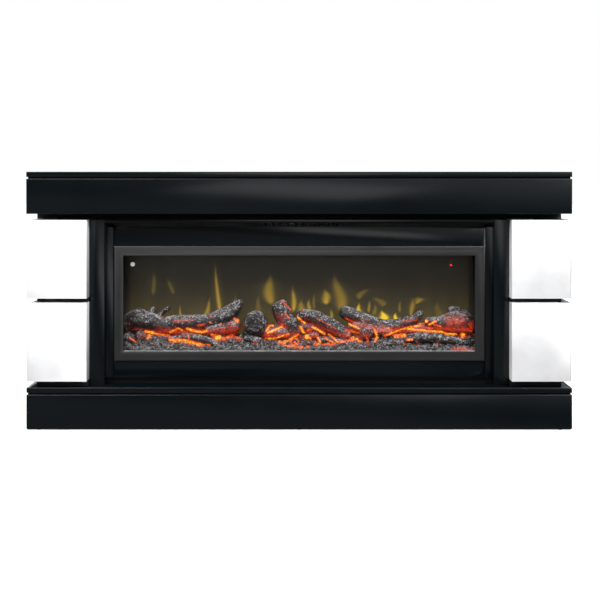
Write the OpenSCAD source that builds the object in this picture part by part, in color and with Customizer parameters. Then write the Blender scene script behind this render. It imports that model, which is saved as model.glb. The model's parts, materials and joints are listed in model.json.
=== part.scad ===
// Free-standing electric fireplace suite: a mantel surround with a wide electric fire in it.
// Millimetres. +X to the right, -Y to the front, +Z up. The origin is on the floor, in the
// middle of the footprint.

/* [Suite] */
// Width over the beam, the hearth and the plinth
suite_w = 1850; // [1700:10:2300]
// Depth from the front of the beam to the wall
suite_d = 350; // [335:5:450]
// Height of the plinth boards
plinth_h = 116; // [60:2:200]
// Height of the beam under the top board
beam_h = 119; // [80:1:200]
// Thickness of the top board and of the hearth board
board_t = 18; // [16:1:30]
// Thickness of the carcass boards
panel_t = 18; // [15:1:22]
// Thickness of the glides under the plinth
glide_t = 3; // [2:0.5:8]

/* [Shadow gaps] */
// Height of the thin groove under the top board and under the hearth board
groove_h = 6; // [3:0.5:12]
// How far that groove is set in from the front
groove_set = 13; // [6:1:25]
// How far that groove is set in from the ends
groove_end = 3; // [0:0.5:10]
// Height of the dark recess under the beam
neck_h = 21; // [16:1:40]
// Gap between the hearth board and what hangs over it
base_gap = 21; // [10:1:40]
// Gap between the upper and the lower block
block_gap = 15; // [8:1:30]

/* [Blocks] */
// Width of a block
block_w = 204; // [140:2:260]
// Depth of a block
block_d = 148; // [110:2:180]
// Wall of a block
block_wall = 16; // [12:1:22]
// Radius of a block's outer front edge
block_r = 10; // [3:1:30]
// How far the spacers under and between the blocks stand back from their faces
spacer_in = 29; // [15:1:60]

/* [Portal] */
// Distance from the block fronts back to the stiles
portal_set = 45; // [20:1:60]
// Thickness of the stiles and the top rail, front to back
portal_t = 30; // [20:1:40]
// Width of a stile
stile_w = 53; // [30:1:80]
// Height of the top rail
rail_h = 12; // [8:1:30]
// Height of the air outlet slot under the top rail
slot_h = 14; // [8:1:25]
// Height of the infill panel above the fire
infill_above = 67; // [50:1:110]
// Seen width of the strip between a stile and the fire
strip_w = 25; // [12:1:50]
// Height of the trim frame above the hearth board
trim_low = 79; // [60:1:120]

/* [Fire] */
// Height of the trim frame
trim_h = 396; // [340:2:480]
// Width of the trim frame's face
trim_face = 32.5; // [24:0.5:45]
// How far the trim frame stands in front of the infill panel
trim_proud = 10; // [6:1:16]
// How far the trim frame laps over the infill panel
trim_lap = 15; // [8:1:20]
// Side gap between the trim frame and the strips
trim_reveal = 3; // [1:0.5:8]
// Sheet thickness of the fire's steel parts
sheet_t = 1.5; // [1:0.1:2]
// Thickness of the front glass
glass_t = 4; // [3:0.5:6]
// Distance from the infill panel's face back to the flame screen
screen_set = 123; // [110:1:140]
// Height of the ember bed's crest over its front rim
bed_rise = 40; // [15:1:55]
// Thickness of the flame screen
screen_t = 3; // [2:0.5:5]
// Free space between the fire's rear cover and the wall
wall_space = 25; // [20:1:60]

/* [Flame drive] */
// Radius of the rotor's shaft
shaft_r = 3; // [2.5:0.25:4]
// Half width of the rotor's reflecting paddles
paddle_r = 22; // [14:1:26]
// Spacing of the paddles along the shaft
paddle_pitch = 50; // [40:1:80]
// Radius of the rotor's gear motor
gear_motor_r = 25; // [18:1:28]

/* [Heater] */
// Length of the blower wheel
wheel_l = 360; // [240:10:480]
// Length of the blower motor
blower_motor_l = 48; // [30:1:70]
// Number of blades on the blower wheel
wheel_blades = 24; // [16:1:30]

/* [Controls] */
// Distance from the middle of the fire to the middle of the control plate
control_x = 440; // [300:5:500]
// Length of the rocker
rocker_l = 24; // [18:1:28]
// Width of the rocker
rocker_w = 18; // [12:1:22]
// Tilt of the rocker between off and on
rocker_swing = 16; // [10:1:20]
// Radius of a button's cap
button_r = 5; // [4:0.5:7]
// Travel of a button
button_travel = 1.5; // [1:0.25:3]

/* [Fits] */
// Radial running clearance between a shaft and its bore
run_fit = 0.05; // [0.03:0.01:0.09]
// Clearance around parts that move in an opening
move_fit = 0.4; // [0.3:0.05:0.6]
// Clearance around the fire in its window
insert_fit = 2; // [1:0.5:5]
// Clearance between neighbouring boards and sheets
seat_fit = 0.5; // [0.2:0.1:1.5]

/* [Hidden] */
$fn = 48;
cut = 1;  // how far a cutting shape runs past the face that it cuts

// Heights, from the floor up
groove_low_z = glide_t + plinth_h;
hearth_z = groove_low_z + groove_h;
hearth_top = hearth_z + board_t;
hang_z = hearth_top + base_gap;
trim_z = hearth_top + trim_low;
trim_top = trim_z + trim_h;
infill_top = trim_top + infill_above;
slot_top = infill_top + slot_h;
portal_top = slot_top + rail_h;
block_h = (portal_top - hang_z - block_gap) / 2;
upper_block_z = portal_top - block_h;
beam_z = portal_top + neck_h;
beam_top = beam_z + beam_h;
top_z = beam_top + groove_h;

// Depths, from the front back
front_y = -suite_d / 2;
rear_y = suite_d / 2;
pillar_y = front_y + block_d;
portal_y = front_y + portal_set;
infill_y = portal_y + portal_t;
rail_y = infill_y + panel_t;
back_t = 4;
panel_rear_y = rear_y - back_t;
cover_y = rear_y - wall_space;
screen_y = infill_y + screen_set;

// Half widths
half_w = suite_w / 2;
block_x = half_w - block_w;
stile_out_x = block_x - seat_fit;
stile_x = block_x - stile_w;
infill_x = stile_x - strip_w;
partition_x = block_x - panel_t;
trim_x = infill_x - trim_reveal;
window_x = trim_x - trim_lap;
window_z0 = trim_z + trim_lap;
window_z1 = trim_top - trim_lap;
shell_x = window_x - insert_fit;
shell_z0 = window_z0 + insert_fit;
shell_z1 = window_z1 - insert_fit;
room_x = shell_x - sheet_t;
room_z0 = shell_z0 + sheet_t;
room_z1 = shell_z1 - sheet_t;
open_x = trim_x - trim_face;
open_z0 = trim_z + trim_face;
open_z1 = trim_top - trim_face;

// Fire, inside
glass_y = infill_y + 3;
glass_rear_y = glass_y + glass_t;
glass_lap = 8;             // how far the glass reaches past the trim frame's opening
seat_lap = 4;              // how far the shell's front lip stays back from that opening
bed_z = open_z0 + 5;       // height of the ember bed's front rim
bed_y0 = glass_rear_y + sheet_t + 1.5;
bed_y1 = screen_y - seat_fit;
bed_wall = 2.5;
rotor_y = (screen_y + cover_y) / 2 + 4;
rotor_z = room_z0 + gear_motor_r + 12;
bearing_t = 4;
gear_motor_l = 18;
bearing_x = room_x - seat_fit - gear_motor_l - bearing_t;
rotor_end = bearing_x + bearing_t + 10;
lamp_t = 1.6;

// Heater, on top of the shell
housing_z0 = shell_z1;
housing_z1 = portal_top - 4;
housing_y0 = rail_y + panel_t + 2;
housing_y1 = cover_y - 30;
wheel_r = (housing_z1 - housing_z0) / 2 - sheet_t - 16;
wheel_y = housing_y1 - sheet_t - wheel_r - 10;
wheel_z = (housing_z0 + housing_z1) / 2;
housing_x = wheel_l / 2 + 8;
element_y = wheel_y - wheel_r - 24;
element_l = wheel_l - 60;

// Controls, on the rear cover
control_z = room_z0 + 90;
plate_w = 118;
plate_h = 52;
plate_t = 2.5;
well_d = 16;
well_wall = 2;
rocker_x = control_x - 34;
flame_button_x = control_x + 10;
heat_button_x = control_x + 38;
pivot_r = 1.5;
pivot_in = 5;      // depth of the rocker's pivot under the plate's face
button_out = 3;    // how far a button stands out of the plate
flange_t = 1.5;
flange_r = button_r + 2;
plate_y = cover_y + sheet_t;
plate_face = plate_y + plate_t;
inlet_x = control_x - 110;
board_y = plate_face - well_d - 6;

// Fixings
screw_l = 30;
screw_r = 2;
screw_head_r = 4;
screw_head_h = 2.2;
cover_screw_r = 1.75;
cover_screw_head_r = 3.5;
cover_lip = 12;    // width of the lip that the rear cover is screwed to
bracket_w = 50;
bracket_t = 3;
bracket_h = 60;
bracket_leg = 60;
bracket_in = 185;  // from the end of the beam to the middle of a bracket
bracket_x = half_w - bracket_in;
bracket_hole_r = 3.25;
bracket_hole_up = 40;

// ---------- helpers ----------

module span(x0, x1, y0, y1, z0, z1)
    translate([x0, y0, z0]) cube([x1 - x0, y1 - y0, z1 - z0]);

module wide(x, y0, y1, z0, z1) span(-x, x, y0, y1, z0, z1);

module mirrored() {
    children();
    mirror([1, 0, 0]) children();
}

// A cylinder along +X, +Y: from the point p, l long
module rod_x(p, r, l) translate(p) rotate([0, 90, 0]) cylinder(r = r, h = l);

module rod_y(p, r, l) translate(p) rotate([-90, 0, 0]) cylinder(r = r, h = l);

// A countersunk wood screw with its tip along +Z and the face of its head at the origin
module wood_screw() {
    cylinder(r1 = screw_head_r, r2 = screw_r, h = screw_head_h);
    cylinder(r = screw_r, h = screw_l - 4);
    translate([0, 0, screw_l - 4]) cylinder(r1 = screw_r, r2 = 0.4, h = 4);
}

// Block screws run forward through a pillar face into the top and bottom walls of the blocks
module block_screws()
    for (x = [block_x + block_w * 0.3, block_x + block_w * 0.72])
        for (z0 = [hang_z, upper_block_z])
            for (z = [z0 + block_wall / 2, z0 + block_h - block_wall / 2])
                translate([x, pillar_y + panel_t, z]) rotate([90, 0, 0]) wood_screw();

// Infill screws run forward through the cross rails into the infill panel
module infill_screws(z)
    for (x = [-0.8, 0, 0.8])
        translate([x * infill_x, rail_y + panel_t, z]) rotate([90, 0, 0]) wood_screw();

upper_screw_z = infill_top - 22;
lower_screw_z = hang_z + 18;

// Bracket screws run down through a wall bracket's foot and the beam floor
module bracket_screws()
    for (dx = [-14, 14])
        translate([bracket_x + dx, rear_y - bracket_leg / 2, beam_z + panel_t + bracket_t])
            rotate([180, 0, 0]) wood_screw();

// Places of the screws around the rear cover
module cover_screw_places() {
    for (x = [-1, -0.6, -0.2, 0.2, 0.6, 1])
        for (z = [room_z0 + cover_lip / 2, room_z1 - cover_lip / 2])
            translate([x * (room_x - cover_lip), cover_y, z]) children();
}

// ---------- surround ----------

module top_board() color("#16181b")
    wide(half_w, front_y, rear_y, top_z, top_z + board_t);

module groove_spacer(z)
    wide(half_w - groove_end, front_y + groove_set, rear_y, z, z + groove_h);

module top_spacer() color("#0c0d0f") groove_spacer(beam_top);

module beam_front() color("#1c1e21")
    wide(half_w, front_y, front_y + panel_t, beam_z, beam_top);

module beam_ends() color("#1a1c1f") mirrored()
    span(half_w - panel_t, half_w, front_y + panel_t, rear_y, beam_z, beam_top);

module beam_floor() color("#131517") difference() {
    wide(half_w - panel_t, front_y + panel_t, rear_y, beam_z, beam_z + panel_t);
    mirrored() bracket_screws();
}

module neck_board() color("#08090a") difference() {
    wide(half_w, pillar_y, rear_y, portal_top, portal_top + neck_h);
    mirrored() bracket_screws();
}

// Seen from above: a block with its outer front corner rounded
module block_outline() {
    difference() {
        square([block_w, block_d]);
        translate([block_w - block_r, 0]) difference() {
            translate([0, -cut]) square([block_r + cut, block_r + cut]);
            translate([0, block_r]) circle(block_r);
        }
    }
}

module block(z) color("#f4f4f2") difference() {
    translate([block_x, front_y, z]) linear_extrude(block_h) block_outline();
    span(block_x + block_wall, half_w - block_wall, front_y + block_wall, pillar_y + cut,
         z + block_wall, z + block_h - block_wall);
    block_screws();
}

module block_upper_right() block(upper_block_z);

module block_upper_left() mirror([1, 0, 0]) block(upper_block_z);

module block_lower_right() block(hang_z);

module block_lower_left() mirror([1, 0, 0]) block(hang_z);

// One board carries the lower block, and one the upper block
module block_spacers() color("#060708") mirrored() {
    span(block_x, half_w - spacer_in, front_y + spacer_in, pillar_y, hearth_top, hang_z);
    span(block_x, half_w - spacer_in, front_y + spacer_in, pillar_y, hang_z + block_h,
         upper_block_z);
}

module side_panels() color("#101113") mirrored()
    span(half_w - panel_t, half_w, pillar_y, panel_rear_y, hearth_top, portal_top);

module pillar_faces() color("#08090a") mirrored() difference() {
    span(block_x, half_w - panel_t, pillar_y, pillar_y + panel_t, hearth_top, portal_top);
    block_screws();
}

module partitions() color("#141210") mirrored()
    span(partition_x, block_x, pillar_y, panel_rear_y, hearth_top, portal_top);

// A stile is a front post with a web behind it that reaches back to the partition
module stiles() color("#15181b") mirrored() translate([0, 0, hearth_top])
    linear_extrude(portal_top - hearth_top) {
        translate([stile_x, portal_y]) square([stile_out_x - stile_x, portal_t]);
        translate([stile_out_x - panel_t, portal_y])
            square([panel_t, pillar_y - portal_y]);
    }

module top_rail() color("#1a1d20")
    wide(stile_x, portal_y, infill_y, slot_top, portal_top);

module infill_panel() color("#13161a") difference() {
    wide(infill_x, infill_y, rail_y, hang_z, infill_top);
    wide(window_x, infill_y - cut, rail_y + cut, window_z0, window_z1);
    infill_screws(upper_screw_z);
    infill_screws(lower_screw_z);
}

module infill_strips() color("#191c20") mirrored()
    span(infill_x, stile_out_x - panel_t, infill_y, rail_y, hang_z, infill_top);

module upper_rail() color("#121315") difference() {
    wide(partition_x - seat_fit, rail_y, rail_y + panel_t, window_z1 + 4, infill_top);
    infill_screws(upper_screw_z);
}

module lower_rail() color("#0c0d0e") difference() {
    wide(partition_x - seat_fit, rail_y, rail_y + panel_t, hearth_top, hang_z + 36);
    infill_screws(lower_screw_z);
}

module insert_shelf() color("#141210")
    wide(partition_x - seat_fit, rail_y, cover_y - 20, shell_z0 - panel_t, shell_z0);

module hearth_board() color("#16181b")
    wide(half_w, front_y, rear_y, hearth_z, hearth_top);

module hearth_spacer() color("#0c0d0f") groove_spacer(groove_low_z);

module plinth_front() color("#1a1b1e")
    wide(half_w, front_y, front_y + panel_t, glide_t, groove_low_z);

module plinth_ends() color("#1a1b1e") mirrored()
    span(half_w - panel_t, half_w, front_y + panel_t, rear_y, glide_t, groove_low_z);

module plinth_back() color("#141210")
    wide(half_w - panel_t, rear_y - panel_t, rear_y, glide_t, groove_low_z);

module glides() color("#3a3a3a")
    for (x = [-1, 0, 1])
        for (y = [front_y + panel_t / 2, rear_y - panel_t / 2])
            translate([x * (half_w - 40), y, 0]) cylinder(r = panel_t / 2 - 1, h = glide_t);

// The service window leaves the rear of the fire and its heater open to the air
service_x = shell_x - 8;
service_z0 = shell_z0 + 4;
service_z1 = housing_z1 - 12;

module back_panel() color("#1d1a17") difference() {
    wide(half_w, panel_rear_y, rear_y, hearth_top, portal_top);
    wide(service_x, panel_rear_y - cut, rear_y + cut, service_z0, service_z1);
}

module wall_bracket() difference() {
    union() {
        span(bracket_x - bracket_w / 2, bracket_x + bracket_w / 2, rear_y - bracket_leg, rear_y,
             beam_z + panel_t, beam_z + panel_t + bracket_t);
        span(bracket_x - bracket_w / 2, bracket_x + bracket_w / 2, rear_y - bracket_t, rear_y,
             beam_z + panel_t, beam_z + panel_t + bracket_h);
    }
    rod_y([bracket_x, rear_y - bracket_t - cut, beam_z + panel_t + bracket_hole_up],
          bracket_hole_r, bracket_t + 2 * cut);
    bracket_screws();
}

module wall_brackets() color("#a8abad") mirrored() wall_bracket();

module wood_screws() color("#c9b26a") {
    mirrored() {
        block_screws();
        bracket_screws();
    }
    infill_screws(upper_screw_z);
    infill_screws(lower_screw_z);
}

// ---------- fire: case ----------

module firebox_shell() color("#1c1d1f") difference() {
    union() {
        difference() {
            wide(shell_x, glass_rear_y, cover_y, shell_z0, shell_z1);
            wide(room_x, glass_rear_y - cut, cover_y + cut, room_z0, room_z1);
        }
        // lip that the front glass lies against
        difference() {
            wide(shell_x, glass_rear_y, glass_rear_y + sheet_t, shell_z0, shell_z1);
            wide(open_x + seat_lap, glass_rear_y - cut, glass_rear_y + sheet_t + cut,
                 open_z0 - seat_lap, open_z1 + seat_lap);
        }
        // lip that the rear cover is screwed to
        difference() {
            wide(shell_x, cover_y - sheet_t, cover_y, shell_z0, shell_z1);
            wide(room_x - cover_lip, cover_y - sheet_t - cut, cover_y + cut,
                 room_z0 + cover_lip, room_z1 - cover_lip);
        }
    }
    cover_screw_places() rod_y([0, -sheet_t - cut, 0], cover_screw_r, sheet_t + 2 * cut);
}

vent_n = 14;
vent_w = 6;
vent_h = 70;
vent_pitch = 14;

module rear_cover() color("#2a2c2e") difference() {
    wide(shell_x, cover_y, cover_y + sheet_t, shell_z0, shell_z1);
    for (bank = [-0.66, -0.33, 0, 0.33])
        for (i = [0 : vent_n - 1])
            span(bank * room_x + (i - vent_n / 2) * vent_pitch,
                 bank * room_x + (i - vent_n / 2) * vent_pitch + vent_w,
                 cover_y - cut, cover_y + sheet_t + cut,
                 room_z1 - 60 - vent_h, room_z1 - 60);
    span(control_x - plate_w / 2 + 4, control_x + plate_w / 2 - 4,
         cover_y - cut, cover_y + sheet_t + cut,
         control_z - plate_h / 2 + 4, control_z + plate_h / 2 - 4);
    inlet_body(seat_fit, cover_y - cut, cover_y + sheet_t + cut);
    cover_screw_places() rod_y([0, -cut, 0], cover_screw_r, sheet_t + 2 * cut);
}

module cover_screws() color("#8d8f91") cover_screw_places() {
    rod_y([0, sheet_t, 0], cover_screw_head_r, 2.2);
    rod_y([0, -sheet_t - 5, 0], cover_screw_r, 2 * sheet_t + 5);
}

// A pressed frame: a face, an outer return to the infill panel and an inner return to the glass
trim_t = 2;
trim_y = infill_y - trim_proud;

module trim_frame() color("#3c3c3e") difference() {
    union() {
        wide(trim_x, trim_y, infill_y, trim_z, trim_top);
        wide(open_x + trim_t, infill_y - cut, glass_y, open_z0 - trim_t, open_z1 + trim_t);
    }
    wide(open_x, trim_y - cut, glass_y + cut, open_z0, open_z1);
    difference() {
        wide(trim_x - trim_t, trim_y + trim_t, infill_y + cut, trim_z + trim_t,
             trim_top - trim_t);
        wide(open_x + trim_t, trim_y, infill_y + 2 * cut, open_z0 - trim_t, open_z1 + trim_t);
    }
}

module front_glass() color([0.6, 0.65, 0.65, 0.3])
    wide(open_x + glass_lap, glass_y, glass_rear_y, open_z0 - glass_lap, open_z1 + glass_lap);

// ---------- fire: flame picture ----------

module flame_screen() color("#3a3724")
    wide(room_x - seat_fit, screen_y, screen_y + screen_t, room_z0, room_z1 - seat_fit);

// One flame-shaped slot in the stencil: a bent tongue, h high and w wide at its foot
function tongue(w, h, lean, n = 8) = concat(
    [for (i = [0 : n]) let (t = i / n) [lean * t * t - w / 2 * (1 - t) * (1 + t), h * t]],
    [for (i = [n - 1 : -1 : 0]) let (t = i / n) [lean * t * t + w / 2 * (1 - t) * (1 + t), h * t]]);

stencil_y = screen_y + screen_t + 20;
stencil_top = room_z1 - 20;
tongue_z = bed_z + 30;
tongue_h = stencil_top - tongue_z - 20;
tongue_n = 7;  // tongues to each side of the middle one

module flame_stencil() color("#b9bcbd") difference() {
    wide(room_x - seat_fit, stencil_y, stencil_y + sheet_t, room_z0, stencil_top);
    for (i = [-tongue_n : tongue_n])
        translate([i * room_x / (tongue_n + 1), stencil_y - cut, tongue_z])
            mirror([0, 1, 0]) rotate([90, 0, 0]) linear_extrude(sheet_t + 2 * cut)
                polygon(tongue(34, tongue_h * (0.4 + 0.08 * (3 * i * i % 7)),
                               14 * (i * i % 3 - 1)));
}

module flame_rotor() color("#d5d7d9") {
    rod_x([-rotor_end, rotor_y, rotor_z], shaft_r, 2 * rotor_end);
    n = floor((bearing_x - 30) / paddle_pitch);
    for (i = [-n : n])
        translate([i * paddle_pitch, rotor_y, rotor_z]) rotate([i * 50, 0, 0])
            translate([-paddle_pitch * 0.35, -0.6, -paddle_r])
                cube([paddle_pitch * 0.7, 1.2, 2 * paddle_r]);
}

// Each bearing is a bent plate that stands on the shell's floor
module rotor_bearings() color("#8b8e90") mirrored() difference() {
    union() {
        span(bearing_x, bearing_x + bearing_t, rotor_y - 14, rotor_y + 14,
             room_z0, rotor_z + 14);
        span(bearing_x - 20, bearing_x + bearing_t, rotor_y - 14, rotor_y + 14,
             room_z0, room_z0 + 3);
    }
    rod_x([bearing_x - cut, rotor_y, rotor_z], shaft_r + run_fit, bearing_t + 2 * cut);
}

module rotor_motor() color("#77797b") difference() {
    rod_x([bearing_x + bearing_t, rotor_y, rotor_z], gear_motor_r, gear_motor_l);
    rod_x([bearing_x + bearing_t - cut, rotor_y, rotor_z], shaft_r + run_fit, 12 + cut);
}

// A strip of lamps along the fire: a board with a row of small lamps on it
module lamp_strip(w, n) {
    cube([2 * w, 12, lamp_t]);
    for (i = [0 : n - 1])
        translate([(i + 0.5) * 2 * w / n - 2.5, 3.5, lamp_t - 0.01]) cube([5, 5, 1.6]);
}

lamp_x = bearing_x - 40;

// One strip lies under the rotor, the other under the ember bed
module lamp_strips() color("#e8e4c8")
    for (y = [rotor_y, (bed_y0 + bed_y1) / 2])
        translate([-lamp_x, y - 6, room_z0]) lamp_strip(lamp_x, 24);

// ---------- fire: ember bed and logs ----------

// A moulded shell: a low hill section along the fire, hollow underneath. It is drawn deeper than
// the shell's floor and cut off there, so that it also clears whatever a log has under the bed.
bed_deep = 60;

module bed_section(grow) {
    w = bed_y1 - bed_y0;
    h = bed_z - room_z0 - grow;
    polygon([[grow, -bed_deep], [grow, h], [w * 0.22, h + bed_rise * 0.25],
             [w * 0.5, h + bed_rise * 0.9], [w * 0.75, h + bed_rise],
             [w - grow, h + bed_rise * 0.5], [w - grow, -bed_deep]]);
}

module bed_bar(x, grow)
    translate([-x, bed_y0, room_z0]) rotate([90, 0, 90]) linear_extrude(2 * x)
        bed_section(grow);

module ember_bed() color("#4a4744") intersection() {
    difference() {
        bed_bar(room_x - seat_fit, 0);
        bed_bar(room_x - seat_fit - bed_wall, bed_wall);
    }
    wide(room_x, bed_y0, bed_y1, room_z0, room_z1);
}

// A log from one point to another, with a radius at each end
module log_piece(a, b, ra, rb) {
    d = b - a;
    l = norm(d);
    translate(a) rotate([0, acos(d[2] / l), atan2(d[1], d[0])])
        cylinder(r1 = ra, r2 = rb, h = l);
}

// Places in the fire: x as a share of the opening's half width, y from the bed's front edge,
// z above the bed's rim
function spot(x, y, z) = [x * open_x, bed_y0 + y, bed_z + z];

module on_bed() difference() {
    children();
    bed_bar(room_x - seat_fit, 0);
}

module log_left() color("#8c8680") on_bed() {
    log_piece(spot(-0.97, 62, 60), spot(-0.81, 60, 70), 46, 42);
    log_piece(spot(-0.91, 14, 38), spot(-0.90, 60, 44), 22, 26);
}

module log_long() color("#6d6761") on_bed() {
    log_piece(spot(-0.79, 76, 90), spot(-0.34, 76, 140), 32, 29);
    log_piece(spot(-0.70, 46, 36), spot(-0.32, 46, 34), 36, 34);
    log_piece(spot(-0.45, 60, 40), spot(-0.39, 74, 128), 24, 20);
}

module log_thick() color("#75706a") on_bed() {
    log_piece(spot(-0.25, 16, 87), spot(-0.225, 66, 88), 45, 43);
    log_piece(spot(-0.18, 60, 56), spot(-0.045, 76, 150), 30, 24);
    log_piece(spot(-0.24, 56, 26), spot(0.0, 52, 24), 32, 30);
    log_piece(spot(-0.036, 22, 78), spot(-0.02, 62, 50), 21, 26);
}

module log_diagonal() color("#6a645e") on_bed() {
    log_piece(spot(0.05, 76, 135), spot(0.29, 54, 46), 29, 34);
    log_piece(spot(0.385, 20, 52), spot(0.345, 66, 38), 28, 32);
}

module log_branch() color("#716b64") on_bed() {
    log_piece(spot(0.25, 78, 138), spot(0.51, 75, 93), 26, 31);
    log_piece(spot(0.47, 77, 97), spot(0.74, 76, 121), 27, 22);
    log_piece(spot(0.44, 71, 50), spot(0.63, 67, 53), 36, 34);
    log_piece(spot(0.585, 41, 32), spot(0.95, 44, 16), 33, 31);
    log_piece(spot(0.84, 61, 82), spot(0.97, 62, 60), 46, 44);
}

// ---------- heater ----------

mouth_z0 = infill_top + 1;
inlet_bar = 5;
inlet_rim = 14;

module heater_housing() color("#9a9d9f") difference() {
    wide(housing_x, housing_y0, housing_y1, housing_z0, housing_z1);
    wide(housing_x - sheet_t, housing_y0 + sheet_t, housing_y1 - sheet_t,
         housing_z0 + sheet_t, housing_z1 - sheet_t);
    // outlet mouth in front, level with the slot
    wide(wheel_l / 2, housing_y0 - cut, housing_y0 + sheet_t + cut, mouth_z0, housing_z1 - 6);
    // three inlet windows at the rear
    for (i = [-1 : 1])
        span((i - 0.5) * wheel_l / 3 + inlet_bar, (i + 0.5) * wheel_l / 3 - inlet_bar,
             housing_y1 - sheet_t - cut, housing_y1 + cut, housing_z0 + inlet_rim,
             housing_z1 - 2 * inlet_rim);
    rod_x([-housing_x - cut, wheel_y, wheel_z], shaft_r + run_fit, 2 * housing_x + 2 * cut);
}

module blower_wheel() color("#33363a") {
    rod_x([-housing_x - 3, wheel_y, wheel_z], shaft_r, 2 * housing_x + 3 + 16);
    for (x = [-wheel_l / 2, -wheel_l / 6, wheel_l / 6 - 2, wheel_l / 2 - 2])
        rod_x([x, wheel_y, wheel_z], wheel_r, 2);
    for (i = [0 : wheel_blades - 1])
        translate([-wheel_l / 2, wheel_y, wheel_z]) rotate([i * 360 / wheel_blades, 0, 0])
            translate([0, -0.5, wheel_r - 7.5]) cube([wheel_l, 1, 7]);
}

module blower_motor() color("#6f7274") difference() {
    union() {
        rod_x([housing_x, wheel_y, wheel_z], wheel_r - 4, blower_motor_l);
        rod_x([housing_x + blower_motor_l, wheel_y, wheel_z], wheel_r / 2, 6);
        span(housing_x, housing_x + 3, wheel_y - wheel_r - 6, wheel_y + wheel_r + 6,
             wheel_z - 9, wheel_z + 9);
    }
    rod_x([housing_x - cut, wheel_y, wheel_z], shaft_r + run_fit, 20 + cut);
}

fin_pitch = 10;

// A framed element: two long rails and a row of fins between them
module heating_element() color("#b7b9ba") {
    for (z = [housing_z0 + sheet_t, housing_z1 - sheet_t - 5])
        wide(element_l / 2, element_y - 8, element_y + 8, z, z + 5);
    for (i = [-floor(element_l / fin_pitch / 2) + 1 : floor(element_l / fin_pitch / 2) - 1])
        span(i * fin_pitch - 0.5, i * fin_pitch + 0.5, element_y - 6, element_y + 6,
             housing_z0 + sheet_t + 4, housing_z1 - sheet_t - 4);
}

grille_pitch = 26;

module outlet_grille() color("#101113") difference() {
    wide(infill_x, rail_y + panel_t, rail_y + panel_t + sheet_t, infill_top - 14,
         portal_top - 1);
    n = floor(wheel_l / 2 / grille_pitch) - 1;
    for (i = [-n : n])
        span(i * grille_pitch - 9, i * grille_pitch + 9, rail_y + panel_t - cut,
             rail_y + panel_t + sheet_t + cut, infill_top + 2, portal_top - 7);
}

// ---------- controls ----------

// Cross section of the rocker about its pivot: x out of the plate, y along its length
module rocker_outline() {
    h = rocker_l / 2;
    o = pivot_in;
    polygon([[o + 3, -h], [o + 1, 0], [o + 3, h], [o - 4, h], [o - 9, h * 0.4],
             [o - 9, -h * 0.4], [o - 4, -h]]);
}

pin_l = 2;

// Drawn in its off position, with its upper end out
module power_rocker() color("#1b1b1d")
    translate([rocker_x, plate_face - pivot_in, control_z]) rotate([-rocker_swing / 2, 0, 0]) {
        translate([-rocker_w / 2, 0, 0]) rotate([90, 0, 90]) linear_extrude(rocker_w)
            rocker_outline();
        rod_x([-rocker_w / 2 - pin_l, 0, 0], pivot_r, rocker_w + 2 * pin_l);
    }

well_x = rocker_w / 2 + move_fit;
well_z = rocker_l / 2 + 2;

module control_plate() color("#232426") difference() {
    union() {
        span(control_x - plate_w / 2, control_x + plate_w / 2, plate_y, plate_face,
             control_z - plate_h / 2, control_z + plate_h / 2);
        span(rocker_x - well_x - well_wall, rocker_x + well_x + well_wall,
             plate_face - well_d, plate_y + cut,
             control_z - well_z - well_wall, control_z + well_z + well_wall);
        // posts that carry the control board
        for (x = [-1, 1])
            for (z = [-1, 1])
                rod_y([control_x + x * (plate_w / 2 - 9), board_y + lamp_t,
                       control_z + z * (plate_h / 2 - 8)], 3, plate_y - board_y - lamp_t + cut);
    }
    span(rocker_x - well_x, rocker_x + well_x, plate_face - well_d - cut, plate_face + cut,
         control_z - well_z, control_z + well_z);
    rod_x([rocker_x - well_x - well_wall - cut, plate_face - pivot_in, control_z],
          pivot_r + run_fit, 2 * (well_x + well_wall + cut));
    for (x = [flame_button_x, heat_button_x])
        rod_y([x, plate_y - cut, control_z], button_r + move_fit, plate_t + 2 * cut);
}

// A cap with a flange behind the plate and a stem that reaches the switch on the board
module button(x) {
    rod_y([x, plate_y - flange_t - 0.3, control_z], button_r, plate_t + flange_t + 0.3 + button_out);
    rod_y([x, plate_y - flange_t - 0.3, control_z], flange_r, flange_t);
    rod_y([x, board_y + lamp_t + 4 + button_travel + 0.3, control_z], 1.5,
          plate_y - flange_t - board_y - lamp_t - 4 - button_travel - 0.3);
}

module flame_button() color("#c8702c") button(flame_button_x);

module heat_button() color("#b03026") button(heat_button_x);

module control_board() color("#1f5a34") {
    span(control_x - plate_w / 2, control_x + plate_w / 2, board_y, board_y + lamp_t,
         control_z - 40, control_z + 40);
    for (x = [flame_button_x, heat_button_x])
        span(x - 3, x + 3, board_y + lamp_t - 0.01, board_y + lamp_t + 4,
             control_z - 3, control_z + 3);
    for (i = [0 : 3])
        span(control_x - 50 + i * 26, control_x - 50 + i * 26 + 18, board_y - 14, board_y + 0.01,
             control_z + 8, control_z + 36);
    rod_y([control_x + 40, board_y - 22, control_z - 22], 9, 22.01);
}

// Body of the inlet and the hole for it; grow is the clearance around it
module inlet_body(grow, y0, y1)
    span(inlet_x - 15 - grow, inlet_x + 15 + grow, y0, y1,
         control_z - 11 - grow, control_z + 11 + grow);

module power_inlet() color("#1b1b1d") difference() {
    union() {
        inlet_body(0, cover_y - 20, plate_y + cut);
        span(inlet_x - 25, inlet_x + 25, plate_y, plate_y + 3, control_z - 14, control_z + 14);
    }
    difference() {
        span(inlet_x - 12, inlet_x + 12, cover_y - 14, plate_y + 3 + cut, control_z - 8,
             control_z + 8);
        for (p = [[-7, -2], [0, 3], [7, -2]])
            span(inlet_x + p[0] - 1, inlet_x + p[0] + 1, cover_y - 14 - cut, cover_y,
                 control_z + p[1] - 2, control_z + p[1] + 2);
    }
}

// ---------- small parts bonded to the back of the glass ----------

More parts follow.
